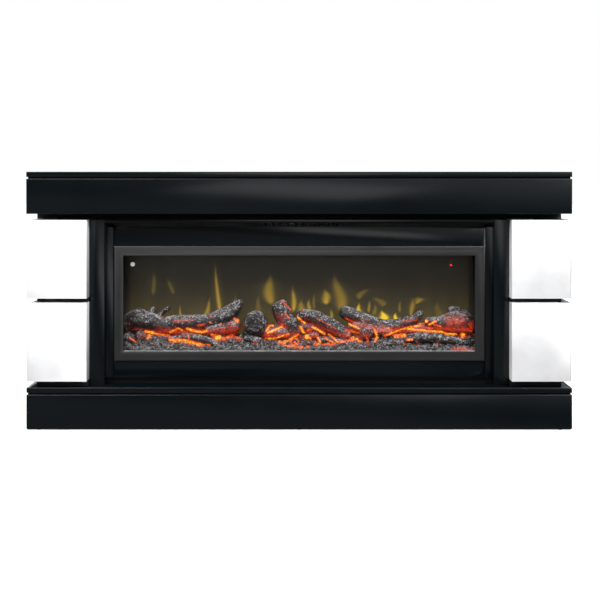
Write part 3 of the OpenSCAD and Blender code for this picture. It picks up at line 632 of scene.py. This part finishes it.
def grown(tree, mesh, **values):
    body = bpy.data.objects.new("seedling", mesh)
    bpy.context.scene.collection.objects.link(body)
    steps = body.modifiers.new("rule", "NODES")
    steps.node_group = tree
    for socket in tree.interface.items_tree:
        if socket.in_out == "INPUT" and socket.name in values:
            steps[socket.identifier] = values[socket.name]
    made = settled(body)
    bpy.data.objects.remove(body)
    return made


def wobble(tree, scale, seed, depth, detail=2.0):
    """A push along the surface's normal by a noise, as a vector."""
    place = put(tree, "GeometryNodeInputPosition").outputs[0]
    cloud = put(tree, "ShaderNodeTexNoise", {"Vector": place, "W": seed, "Scale": scale,
                                             "Detail": detail, "Roughness": 0.6},
                noise_dimensions="4D").outputs[0]
    push = sums(tree, "MULTIPLY", sums(tree, "SUBTRACT", cloud, 0.5), depth)
    return put(tree, "ShaderNodeVectorMath", {
        0: put(tree, "GeometryNodeInputNormal").outputs[0], "Scale": push},
        operation="SCALE").outputs[0]


# %% [markdown]
# ## Charred resin, ash and embers
#
# The logs are cast in resin from real charred wood, sprayed black and brown, and given pale ash
# with a dry brush that catches the ridges. Their cracks are left unpainted, so the orange lamps
# under the bed glow through. The same holds for the ember bed and its loose coals. Two values
# on the surface drive the finish: "ash" says how many pale flecks a point gets, partly ash and
# partly a painted highlight, as it is raised on faces that look up, and "heat" how thin the
# paint is and so how strongly the lamp shines through.

# %% Resin finishes
def charred(name, dark, brown, ash, fleck, deep):
    made, tree, place = new_finish(name)
    heat, ash_and_highlight = stored(tree, "glow")
    coarse = clouds(tree, place, fleck * 0.3, 4.0, 0.6)
    fine = clouds(tree, place, fleck, 3.0, 0.7)
    wood = put(tree, "ShaderNodeMix", {0: spread(tree, coarse, 0.0, 1.0), 6: (*dark, 1.0),
                                       7: (*brown, 1.0)}, data_type="RGBA").outputs[2]
    # Pale flecks where the noises and the stored ash value are high: partly ash, partly a painted
    # highlight, since the stored value is raised on faces that look up.
    caught = sums(tree, "ADD", sums(tree, "ADD", fine, sums(tree, "MULTIPLY", coarse, 0.5)),
                  sums(tree, "MULTIPLY", ash_and_highlight, 0.34))
    mask = put(tree, "ShaderNodeMapRange", {"Value": caught, "From Min": 0.885, "From Max": 0.995},
               interpolation_type="SMOOTHSTEP").outputs["Result"]
    bare = put(tree, "ShaderNodeMapRange", {"Value": heat, "From Min": 0.12, "From Max": 0.50,
                                            "To Min": 1.0, "To Max": 0.15}).outputs["Result"]
    mask = sums(tree, "MULTIPLY", mask, bare)
    skin = put(tree, "ShaderNodeMix", {0: mask, 6: wood, 7: (*ash, 1.0)},
               data_type="RGBA").outputs[2]
    lit = sums(tree, "MULTIPLY", heat, spread(tree, fine, 0.42, 1.55))
    lit = sums(tree, "MULTIPLY", lit, spread(tree, mask, 1.0, 0.62, 0.0, 1.0))
    shine = ramp(tree, lit, [(0.0, (0.0, 0.0, 0.0)), (0.12, (0.014, 0.0012, 0.0006)),
                             (0.30, (0.20, 0.012, 0.004)), (0.46, (0.70, 0.045, 0.008)),
                             (0.64, (1.0, 0.17, 0.008)), (0.84, (1.0, 0.40, 0.015)),
                             (1.0, (1.0, 0.70, 0.06))])
    rough_skin = sums(tree, "ADD", coarse, sums(tree, "MULTIPLY", fine, 0.6))
    bump = put(tree, "ShaderNodeBump", {"Height": rough_skin, "Strength": 1.0,
                                        "Distance": deep})
    close(tree, put(tree, "ShaderNodeBsdfPrincipled", {
        "Base Color": skin, "Roughness": spread(tree, mask, 0.55, 0.9, 0.0, 1.0),
        "Normal": bump.outputs[0], "Emission Color": shine, "Emission Strength": 1.0}))
    return made


def circuit(name):
    made, tree, place = new_finish(name)
    tracks = put(tree, "ShaderNodeTexBrick", {
        "Vector": place, "Scale": 60.0, "Mortar Size": 0.012, "Color1": (0.006, 0.055, 0.022, 1),
        "Color2": (0.007, 0.065, 0.026, 1), "Mortar": (0.02, 0.16, 0.06, 1)})
    close(tree, put(tree, "ShaderNodeBsdfPrincipled", {
        "Base Color": tracks.outputs[0],
        "Roughness": spread(tree, clouds(tree, place, 300.0), 0.28, 0.4)}))
    return made


FINISH.update({
    "log_resin": charred("log_resin", (0.003, 0.003, 0.003), (0.026, 0.017, 0.014),
                         (0.27, 0.265, 0.275), 185.0, 0.0024),
    "ash_resin": charred("ash_resin", (0.004, 0.004, 0.004), (0.034, 0.025, 0.022),
                         (0.20, 0.195, 0.20), 210.0, 0.0018),
    "lamp_board": moulded("lamp_board", (0.60, 0.60, 0.58), 0.4, 500.0,
                          glow=(1.0, 0.42, 0.10, 0.25)),
    "circuit_board": circuit("circuit_board"),
})
print("finishes", len(FINISH), "without one", sorted(set(SLOT_OF.values()) - set(FINISH)))

# %% [markdown]
# ## Where the fire glows
#
# The glow runs in seams: along the cracks of the logs, between logs and bed, and in small curls
# over the bed. Each seam is a line (x, z, x, z), its half width and its heat, drawn on an upright
# plane through the middle of the bed. A seam reaches a surface along the line of sight from the
# room, as paint that is rubbed off from the front would, and the backs of the logs stay dark. A
# ring of six short seams goes round the small swirl under the middle logs.

# %% Seams of glow, in millimetres
MASK_Y = -0.04
SEAMS = [
    (-597, 292, -571, 275, 3.5, 0.7), (-580, 322, -551, 323, 4.2, 0.45),
    (-540, 314, -513, 309, 6.3, 0.9), (-513, 309, -534, 292, 5.6, 0.9),
    (-508, 306, -454, 298, 5.3, 0.8), (-454, 312, -428, 325, 5.3, 0.8),
    (-428, 325, -411, 318, 5.3, 0.8), (-394, 323, -345, 311, 6.3, 0.95),
    (-345, 311, -325, 316, 6.3, 0.85), (-454, 283, -405, 282, 7.7, 0.9),
    (-405, 282, -347, 267, 7.7, 0.95), (-347, 267, -316, 266, 5.3, 0.7),
    (-391, 301, -388, 289, 3.5, 0.7), (-289, 292, -286, 292, 10.5, 1.2),
    (-307, 301, -264, 289, 7.7, 0.75), (-264, 289, -236, 298, 7.7, 0.7),
    (-236, 298, -210, 288, 7, 0.6), (-227, 358, -218, 348, 6.3, 0.8),
    (-218, 348, -198, 375, 6.3, 0.85), (-440, 349, -376, 355, 8.4, 0.36),
    (-485, 364, -471, 361, 6.3, 0.3), (-356, 335, -336, 338, 7, 0.42),
    (-313, 345, -310, 345, 4.2, 0.7), (-277, 341, -276, 341, 3.5, 0.9),
    (-250, 341, -236, 348, 4.2, 0.45), (-293, 325, -221, 332, 6.3, 0.38),
    (-216, 326, -216, 309, 4.2, 0.4), (-319, 367, -307, 367, 5.6, 0.34),
    (-290, 378, -286, 378, 5.3, 0.34), (-250, 398, -247, 396, 4.2, 0.3),
    (-554, 381, -549, 378, 14.1, 0.16), (-497, 333, -472, 318, 14.1, 0.22),
    (-602, 347, -591, 318, 10.5, 0.14), (-114, 316, -103, 338, 6, 0.9),
    (-103, 338, -92, 333, 5.6, 0.9), (-109, 309, -63, 330, 5.6, 1),
    (-117, 290, -84, 290, 4.6, 0.95), (-84, 290, -36, 306, 4.6, 0.85),
    (-68, 276, -58, 271, 5.6, 0.8), (-58, 271, -4, 303, 5.3, 0.8),
    (-50, 265, -14, 257, 4.6, 0.75), (-14, 257, 34, 260, 4.6, 0.72),
    (-16, 276, -15, 276, 4.6, 0.85), (-50, 376, -36, 362, 4.9, 0.55),
    (-63, 422, -41, 403, 4.6, 0.5), (-41, 403, -23, 381, 4.2, 0.5),
    (-71, 368, -53, 361, 17.6, 0.28), (-58, 338, -57, 337, 5.3, 0.6),
    (-9, 365, 20, 343, 5.3, 0.95), (4, 330, 15, 309, 7, 0.9), (15, 309, 39, 287, 7, 0.95),
    (25, 295, 26, 294, 6.7, 1.2), (34, 319, 38, 318, 12.7, 0.5), (47, 330, 72, 316, 5.6, 0.95),
    (72, 316, 88, 306, 5.6, 0.95), (104, 303, 120, 292, 4.9, 0.9),
    (120, 292, 136, 276, 4.9, 0.85), (66, 292, 74, 273, 5.6, 0.9), (74, 273, 58, 265, 5.6, 0.8),
    (88, 292, 126, 271, 4.6, 0.7), (53, 271, 115, 268, 5.3, 0.6),
    (20, 357, 101, 316, 10.5, 0.24), (12, 384, 15, 385, 4.2, 0.45),
    (61, 360, 128, 324, 4.2, 0.4), (163, 360, 190, 346, 5.3, 0.5),
    (174, 341, 209, 324, 4.9, 0.98), (168, 319, 209, 309, 9.1, 0.6),
    (139, 276, 209, 287, 5.6, 0.7), (-157, 276, -152, 276, 7, 0.4),
    (265, 321, 273, 298, 5.3, 0.92), (273, 298, 268, 281, 5.6, 0.92),
    (239, 292, 241, 266, 5.6, 0.5), (184, 292, 216, 278, 5.6, 0.8),
    (314, 325, 314, 325, 4.6, 0.9), (299, 298, 334, 312, 5.3, 0.8),
    (334, 312, 379, 327, 5.3, 0.8), (379, 327, 426, 335, 5.6, 0.8),
    (339, 298, 371, 301, 7, 1.08), (377, 324, 426, 318, 5.6, 0.9),
    (426, 318, 503, 312, 5.6, 0.9), (503, 312, 523, 304, 5.3, 0.95),
    (523, 304, 552, 304, 5.6, 1), (575, 301, 576, 301, 11.3, 1.15), (426, 344, 448, 350, 7, 1),
    (457, 338, 480, 350, 5.3, 0.88), (472, 337, 497, 331, 4.2, 0.7),
    (362, 350, 414, 355, 7, 0.4), (379, 284, 397, 286, 5.3, 0.8), (371, 269, 372, 269, 7, 0.46),
    (414, 275, 416, 275, 7, 0.32), (534, 347, 565, 350, 31.6, 0.4),
    (517, 367, 520, 366, 14.1, 0.32), (603, 340, 604, 318, 14.1, 0.36),
    (535, 250, 612, 250, 4.2, 0.46), (219, 358, 245, 353, 4.2, 0.36),
    (284, 329, 302, 326, 14.1, 0.36), (486, 275, 488, 275, 8.8, 0.3),
    (-560, 300, -480, 305, 18, 0.26), (-500, 312, -230, 316, 18, 0.36),
    (-240, 306, -200, 330, 12, 0.34), (-115, 300, 60, 300, 20, 0.38),
    (-70, 340, -50, 330, 14, 0.38), (20, 345, 150, 300, 14, 0.34),
    (160, 300, 240, 300, 16, 0.36), (180, 345, 300, 318, 16, 0.36),
    (270, 318, 440, 322, 16, 0.42), (440, 325, 610, 316, 16, 0.42),
]
RING_X, RING_Z, RING_RADIUS, RING_SIDES = -16.0, 277.6, 14.0, 6
corners = [(RING_X + RING_RADIUS * math.cos(math.tau * side / RING_SIDES),
            RING_Z - RING_RADIUS * math.sin(math.tau * side / RING_SIDES))
           for side in range(RING_SIDES + 1)]
SEAMS += [(*corners[side], *corners[side + 1], 3.5, 0.7) for side in range(RING_SIDES)]
SEAM = np.array(SEAMS) / (1000.0, 1000.0, 1000.0, 1000.0, 1000.0, 1.0)
TO_ROOM = np.array((0.0, -0.96, 0.28))


def heat_at(points, normals, soft=1.0):
    """The heat at points of a surface, from the nearest seams."""
    eye = np.array(EYE)
    reach = (MASK_Y - eye[1]) / (points[:, 1] - eye[1])
    seen = np.stack([points[:, 0] * reach, eye[2] + (points[:, 2] - eye[2]) * reach], axis=-1)
    facing = np.clip(0.25 + 1.5 * (normals @ TO_ROOM), 0.0, 1.0)
    best = np.zeros(len(points))
    for x0, z0, x1, z1, wide, heat in SEAM:
        run = np.array((x1 - x0, z1 - z0))
        away = seen - (x0, z0)
        along = np.clip(away @ run / max(run @ run, 1e-9), 0.0, 1.0)
        gap = np.hypot(*(away - along[:, None] * run).T) / (wide * soft)
        best = np.maximum(best, heat * np.exp(-gap ** 2))
    return best * facing


def paint(mesh, ash_and_highlight_bias, soft=1.0):
    """Stores ash and heat on a mesh. The ash value is raised on faces that look up, partly for ash and
    partly as a painted highlight.
    """
    count = len(mesh.vertices)
    points, normals = np.empty(count * 3), np.empty(count * 3)
    mesh.vertices.foreach_get("co", points)
    mesh.vertex_normals.foreach_get("vector", normals)
    points, normals = points.reshape(-1, 3), normals.reshape(-1, 3)
    # The ash value rises on faces that look up: partly ash, partly a painted highlight from the lights
    # above.
    ash = ash_and_highlight_bias + 0.32 * np.clip(normals[:, 2], -0.5, 1.0)
    store(mesh, "glow", heat_at(points, normals, soft), ash)


print("seams", len(SEAM))

# %% [markdown]
# ## The logs
#
# A cast log is a lumpy limb with knots, stubs and twigs grown together. Each one is drawn as
# a few lines of points (x, y, z, thickness). The rule sweeps a round along every line, melts the
# limbs into one skin through a volume, and pushes the skin in and out with a coarse noise for
# the lumps and a fine one for the bark.

# %% The rule for timber
timber, given = rule("timber", {
    "Step": ("Float", 0.006), "Skin": ("Float", 0.0028), "Lumps": ("Float", 0.010),
    "Bark": ("Float", 0.005), "Seed": ("Float", 0.0), "Finish": ("Material", None)})
line = put(timber, "GeometryNodeMeshToCurve", {"Mesh": given["Geometry"]}).outputs[0]
line = put(timber, "GeometryNodeResampleCurve", {"Curve": line, "Length": given["Step"]},
           mode="LENGTH").outputs[0]
thick = put(timber, "GeometryNodeInputNamedAttribute", {"Name": "thick"}, data_type="FLOAT")
limbs = put(timber, "GeometryNodeCurveToMesh", {
    "Curve": line, "Scale": thick.outputs["Attribute"], "Fill Caps": True,
    "Profile Curve": put(timber, "GeometryNodeCurvePrimitiveCircle",
                         {"Resolution": 18, "Radius": 1.0}).outputs[0]}).outputs[0]
mass = put(timber, "GeometryNodeMeshToVolume", {
    "Mesh": limbs, "Density": 1.0, "Voxel Size": given["Skin"],
    "Interior Band Width": 0.02}, resolution_mode="VOXEL_SIZE").outputs[0]
skin = put(timber, "GeometryNodeVolumeToMesh", {"Volume": mass, "Threshold": 0.1}).outputs[0]
for scale, depth, detail in ((42.0, "Lumps", 2.0), (170.0, "Bark", 3.0)):
    skin = put(timber, "GeometryNodeSetPosition", {
        "Geometry": skin, "Offset": wobble(timber, scale, given["Seed"], given[depth], detail)}
        ).outputs[0]
skin = put(timber, "GeometryNodeSetShadeSmooth", {"Geometry": skin}).outputs[0]
end_rule(timber, skin, given["Finish"])

# %% The logs' lines, in metres
TIMBER = {
    "log_left": [
        [(-0.619, -0.02, 0.33, 0.0248), (-0.598, -0.02, 0.347, 0.0336),
         (-0.57, -0.02, 0.356, 0.0389), (-0.542, -0.02, 0.351, 0.0354),
         (-0.513, -0.02, 0.346, 0.0301), (-0.482, -0.02, 0.333, 0.0283),
         (-0.45, -0.02, 0.319, 0.0212)],
        [(-0.586, -0.01, 0.364, 0.0213), (-0.571, -0.005, 0.388, 0.0114),
         (-0.57, -0.005, 0.397, 0.0057)],
        [(-0.533, -0.005, 0.363, 0.0178), (-0.518, 0, 0.387, 0.0128), (-0.514, 0, 0.396, 0.0078)],
        [(-0.504, -0.012, 0.362, 0.0092), (-0.479, -0.01, 0.38, 0.0103),
         (-0.456, -0.01, 0.397, 0.0089)],
        [(-0.555, -0.058, 0.292, 0.0119), (-0.556, -0.053, 0.292, 0.0196),
         (-0.558, -0.04, 0.292, 0.0222), (-0.561, 0, 0.298, 0.0231)],
        [(-0.621, -0.03, 0.289, 0.0212), (-0.592, -0.035, 0.283, 0.0229),
         (-0.568, -0.035, 0.275, 0.0141)],
        [(-0.610, -0.008, 0.318, 0.020), (-0.540, -0.006, 0.322, 0.026), (-0.470, -0.006, 0.312, 0.024)],
    ],
    "log_long": [
        [(-0.478, -0.018, 0.347, 0.0195), (-0.45, -0.018, 0.342, 0.0283),
         (-0.393, -0.018, 0.342, 0.029), (-0.337, -0.018, 0.344, 0.029),
         (-0.298, -0.018, 0.352, 0.0304), (-0.259, -0.018, 0.367, 0.0325),
         (-0.231, -0.015, 0.389, 0.0276), (-0.212, -0.012, 0.415, 0.0163),
         (-0.208, -0.012, 0.426, 0.0078)],
        [(-0.329, -0.03, 0.313, 0.0212), (-0.279, -0.03, 0.321, 0.0247),
         (-0.23, -0.028, 0.331, 0.0247), (-0.206, -0.025, 0.345, 0.0177)],
        [(-0.477, -0.052, 0.287, 0.007), (-0.446, -0.052, 0.289, 0.0119),
         (-0.404, -0.052, 0.294, 0.0154), (-0.355, -0.054, 0.291, 0.0175),
         (-0.316, -0.056, 0.281, 0.0161), (-0.281, -0.058, 0.267, 0.0126),
         (-0.263, -0.06, 0.26, 0.007)],
        [(-0.412, -0.04, 0.304, 0.0105), (-0.394, -0.045, 0.296, 0.0147),
         (-0.369, -0.05, 0.299, 0.0112)],
        [(-0.480, -0.006, 0.318, 0.022), (-0.400, -0.004, 0.312, 0.026), (-0.320, -0.006, 0.316, 0.024),
         (-0.215, -0.006, 0.310, 0.020)],
    ],
    "log_thick": [
        [(-0.153, -0.07, 0.343, 0.0279), (-0.153, -0.066, 0.343, 0.0384),
         (-0.154, -0.058, 0.344, 0.0434), (-0.153, -0.02, 0.342, 0.0446),
         (-0.153, -0.004, 0.342, 0.0412)],
        [(-0.077, -0.012, 0.414, 0.022), (-0.073, -0.014, 0.407, 0.0326),
         (-0.063, -0.018, 0.382, 0.0347), (-0.048, -0.022, 0.351, 0.0332),
         (-0.036, -0.026, 0.323, 0.0282)],
        [(-0.131, -0.035, 0.304, 0.0158), (-0.096, -0.04, 0.311, 0.0229),
         (-0.057, -0.042, 0.308, 0.0228), (-0.025, -0.045, 0.298, 0.0176)],
        [(-0.02, -0.052, 0.364, 0.0112), (-0.02, -0.052, 0.357, 0.0196),
         (-0.02, -0.05, 0.337, 0.0238), (-0.018, -0.048, 0.316, 0.0253),
         (-0.017, -0.045, 0.298, 0.0211)],
        [(-0.016, -0.066, 0.28, 0.0091), (-0.016, -0.062, 0.28, 0.0147),
         (-0.016, -0.05, 0.279, 0.0168), (-0.015, -0.03, 0.285, 0.0169)],
        [(-0.194, -0.045, 0.291, 0.0123), (-0.166, -0.05, 0.287, 0.0158),
         (-0.13, -0.055, 0.28, 0.014)],
        [(-0.200, -0.006, 0.306, 0.020), (-0.130, -0.006, 0.304, 0.024), (-0.060, -0.008, 0.322, 0.024),
         (-0.012, -0.010, 0.318, 0.020)],
    ],
    "log_diagonal": [
        [(-0.008, -0.012, 0.36, 0.0163), (0.013, -0.014, 0.367, 0.0234),
         (0.042, -0.016, 0.366, 0.0255), (0.074, -0.02, 0.354, 0.0276),
         (0.112, -0.026, 0.332, 0.0282), (0.151, -0.034, 0.309, 0.0247),
         (0.179, -0.04, 0.292, 0.0176)],
        [(0.234, -0.066, 0.308, 0.0161), (0.234, -0.062, 0.309, 0.0245),
         (0.235, -0.052, 0.31, 0.028), (0.236, -0.02, 0.312, 0.029)],
        [(0.031, -0.05, 0.299, 0.0119), (0.052, -0.052, 0.304, 0.0154),
         (0.069, -0.05, 0.299, 0.0119)],
        [(0.066, -0.055, 0.282, 0.0105), (0.101, -0.055, 0.286, 0.0158),
         (0.143, -0.058, 0.277, 0.014), (0.185, -0.06, 0.269, 0.0105)],
        [(0.000, -0.006, 0.322, 0.022), (0.060, -0.006, 0.318, 0.024), (0.120, -0.010, 0.302, 0.020)],
    ],
    "log_branch": [
        [(0.143, -0.012, 0.383, 0.0163), (0.155, -0.013, 0.38, 0.0255),
         (0.187, -0.015, 0.368, 0.0269), (0.229, -0.018, 0.351, 0.0262),
         (0.272, -0.02, 0.337, 0.024), (0.314, -0.02, 0.331, 0.0233),
         (0.357, -0.018, 0.335, 0.0241), (0.392, -0.016, 0.347, 0.0234),
         (0.417, -0.014, 0.361, 0.0184), (0.432, -0.012, 0.376, 0.012),
         (0.435, -0.012, 0.385, 0.0064)],
        [(0.186, -0.03, 0.331, 0.0176), (0.228, -0.035, 0.325, 0.0211),
         (0.277, -0.036, 0.314, 0.0211), (0.327, -0.036, 0.311, 0.0176)],
        [(0.442, -0.018, 0.344, 0.0177), (0.47, -0.018, 0.347, 0.0191),
         (0.498, -0.02, 0.344, 0.0226)],
        [(0.491, -0.016, 0.34, 0.0248), (0.523, -0.020, 0.341, 0.034),
         (0.555, -0.026, 0.347, 0.0425), (0.583, -0.026, 0.343, 0.0411),
         (0.608, -0.016, 0.333, 0.0319)],
        [(0.531, -0.008, 0.378, 0.0142), (0.542, -0.006, 0.388, 0.0142),
         (0.557, -0.006, 0.383, 0.0177), (0.585, -0.006, 0.37, 0.0185),
         (0.606, -0.006, 0.349, 0.0149)],
        [(0.364, -0.05, 0.288, 0.014), (0.392, -0.054, 0.29, 0.0196),
         (0.43, -0.056, 0.295, 0.0238), (0.472, -0.056, 0.294, 0.0231),
         (0.514, -0.056, 0.287, 0.0196), (0.556, -0.056, 0.28, 0.0168),
         (0.605, -0.056, 0.272, 0.014)],
        [(0.283, -0.06, 0.269, 0.0105), (0.325, -0.058, 0.274, 0.0147),
         (0.367, -0.058, 0.27, 0.0157)],
        [(0.170, -0.006, 0.322, 0.020), (0.260, -0.004, 0.312, 0.024), (0.360, -0.004, 0.316, 0.024),
         (0.450, -0.006, 0.318, 0.022)],
        [(0.440, -0.006, 0.322, 0.020), (0.530, -0.006, 0.316, 0.024), (0.606, -0.006, 0.312, 0.022)],
    ],
}


def drawn(lines):
    """A mesh of bare edges along the lines, with the thickness stored at each point."""
    mesh = bpy.data.meshes.new("lines")
    points = [point for line in lines for point in line]
    edges, first = [], 0
    for line in lines:
        edges += [(first + i, first + i + 1) for i in range(len(line) - 1)]
        first += len(line)
    mesh.from_pydata([point[:3] for point in points], edges, [])
    layer = mesh.attributes.new("thick", "FLOAT", "POINT")
    layer.data.foreach_set("value", [point[3] for point in points])
    return mesh


LOG_SEED_STEP, LOG_ASH_AND_HIGHLIGHT = 3.7, 0.20
for number, (node, lines) in enumerate(TIMBER.items()):
    log = grown(timber, drawn(lines), Seed=LOG_SEED_STEP * number, Finish=FINISH["log_resin"])
    paint(log, LOG_ASH_AND_HIGHLIGHT)
    add_piece(node + "_bark", log, stands_for=[node])
    print(node, len(log.polygons), "faces")

# %% [markdown]
# ## The ember bed and its coals
#
# The bed is one thin casting that swells up from the frame's lower edge to a crest behind the
# logs. Its skin is a height field: a smooth section, lumps of a few centimetres and rubble of
# a few millimetres. Loose coals are scattered over it by a rule that only sets them on faces
# that look up, each with its own size and turn, and knocks them out of round.

# %% The bed
BED_LOW, BED_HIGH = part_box("ember_bed")
BED_CELL = 0.0035
CREST = 0.040
# part of the depth from front to back, and rise over the rim
SECTION = [(0.0, 0.0), (0.22, 0.010), (0.50, 0.034), (0.75, 0.036), (1.0, 0.018)]
rim = BED_HIGH.z - CREST
across = np.linspace(BED_LOW.x, BED_HIGH.x, round((BED_HIGH.x - BED_LOW.x) / BED_CELL) + 1)
depths = np.linspace(BED_LOW.y, BED_HIGH.y, round((BED_HIGH.y - BED_LOW.y) / BED_CELL) + 1)
bed_x, bed_y = np.meshgrid(across, depths)
part_way = (bed_y - BED_LOW.y) / (BED_HIGH.y - BED_LOW.y)
rise = np.interp(part_way, *zip(*SECTION))
lumps = np.array([[noise.noise((x * 26.0, y * 26.0, 3.0)) * 0.006
                   + noise.noise((x * 120.0, y * 120.0, 7.0)) * 0.0035
                   for x in across] for y in depths])
bed_z = rim + rise + lumps * np.clip(part_way * 8.0, 0.15, 1.0)
bed = sheet("ember_skin", np.stack([bed_x, bed_y, bed_z], axis=-1), [
    (x, y, BED_LOW.z) for x, y in ((across[0], depths[0]), (across[-1], depths[0]),
                                   (across[-1], depths[-1]), (across[0], depths[-1]))])
bed.materials.append(FINISH["ash_resin"])
bed.shade_smooth()
paint(bed, 0.10, 1.15)
add_piece("ember_skin", bed, stands_for=["ember_bed"])
print("bed", len(bed.polygons), "faces, rim", round(rim, 4))

# %% The rule for coals
LOOKS_UP, FULL_TURN = 0.25, 6.28
coals, given = rule("coals", {
    "Density": ("Float", 9000.0), "Small": ("Float", 0.0028), "Large": ("Float", 0.0085),
    "Seed": ("Int", 4), "Finish": ("Material", None)})
upward = put(coals, "ShaderNodeSeparateXYZ",
             {0: put(coals, "GeometryNodeInputNormal").outputs[0]}).outputs["Z"]
spots = put(coals, "GeometryNodeDistributePointsOnFaces", {
    "Mesh": given["Geometry"], "Density": given["Density"], "Seed": given["Seed"],
    "Selection": put(coals, "FunctionNodeCompare", {0: upward, 1: LOOKS_UP}).outputs[0]})
girth = put(coals, "FunctionNodeRandomValue", {"Seed": given["Seed"]}, data_type="FLOAT")
coals.links.new(given["Small"], next(s for s in girth.inputs if s.identifier == "Min_001"))
coals.links.new(given["Large"], next(s for s in girth.inputs if s.identifier == "Max_001"))
turn = put(coals, "FunctionNodeRandomValue", {"Seed": given["Seed"]}, data_type="FLOAT_VECTOR")
turn.inputs["Max"].default_value = (FULL_TURN, FULL_TURN, FULL_TURN)
stone = put(coals, "GeometryNodeMeshIcoSphere", {"Radius": 1.0, "Subdivisions": 1}).outputs[0]
laid = put(coals, "GeometryNodeInstanceOnPoints", {
    "Points": spots.outputs["Points"], "Instance": stone, "Rotation": turn.outputs["Value"],
    "Scale": next(s for s in girth.outputs if s.identifier == "Value_001")}).outputs[0]
loose = put(coals, "GeometryNodeRealizeInstances", {"Geometry": laid}).outputs[0]
loose = put(coals, "GeometryNodeSetPosition", {
    "Geometry": loose, "Offset": wobble(coals, 130.0, 1.5, 0.006)}).outputs[0]
end_rule(coals, loose, given["Finish"])

embers = grown(coals, bed, Finish=FINISH["ash_resin"])
paint(embers, 0.02, 1.1)
add_piece("coals", embers)
print("coals", len(embers.polygons) // 20)

# %% [markdown]
# ## Finishes on the engineering parts
#
# The parts inside and behind keep their engineering shape and get the finish that the record
# names for them.

# %% Finishes on the rest
for name, node in NODES.items():
    if not node.hide_render and SLOT_OF[name] in FINISH:
        node.data.materials.clear()
        node.data.materials.append(FINISH[SLOT_OF[name]])
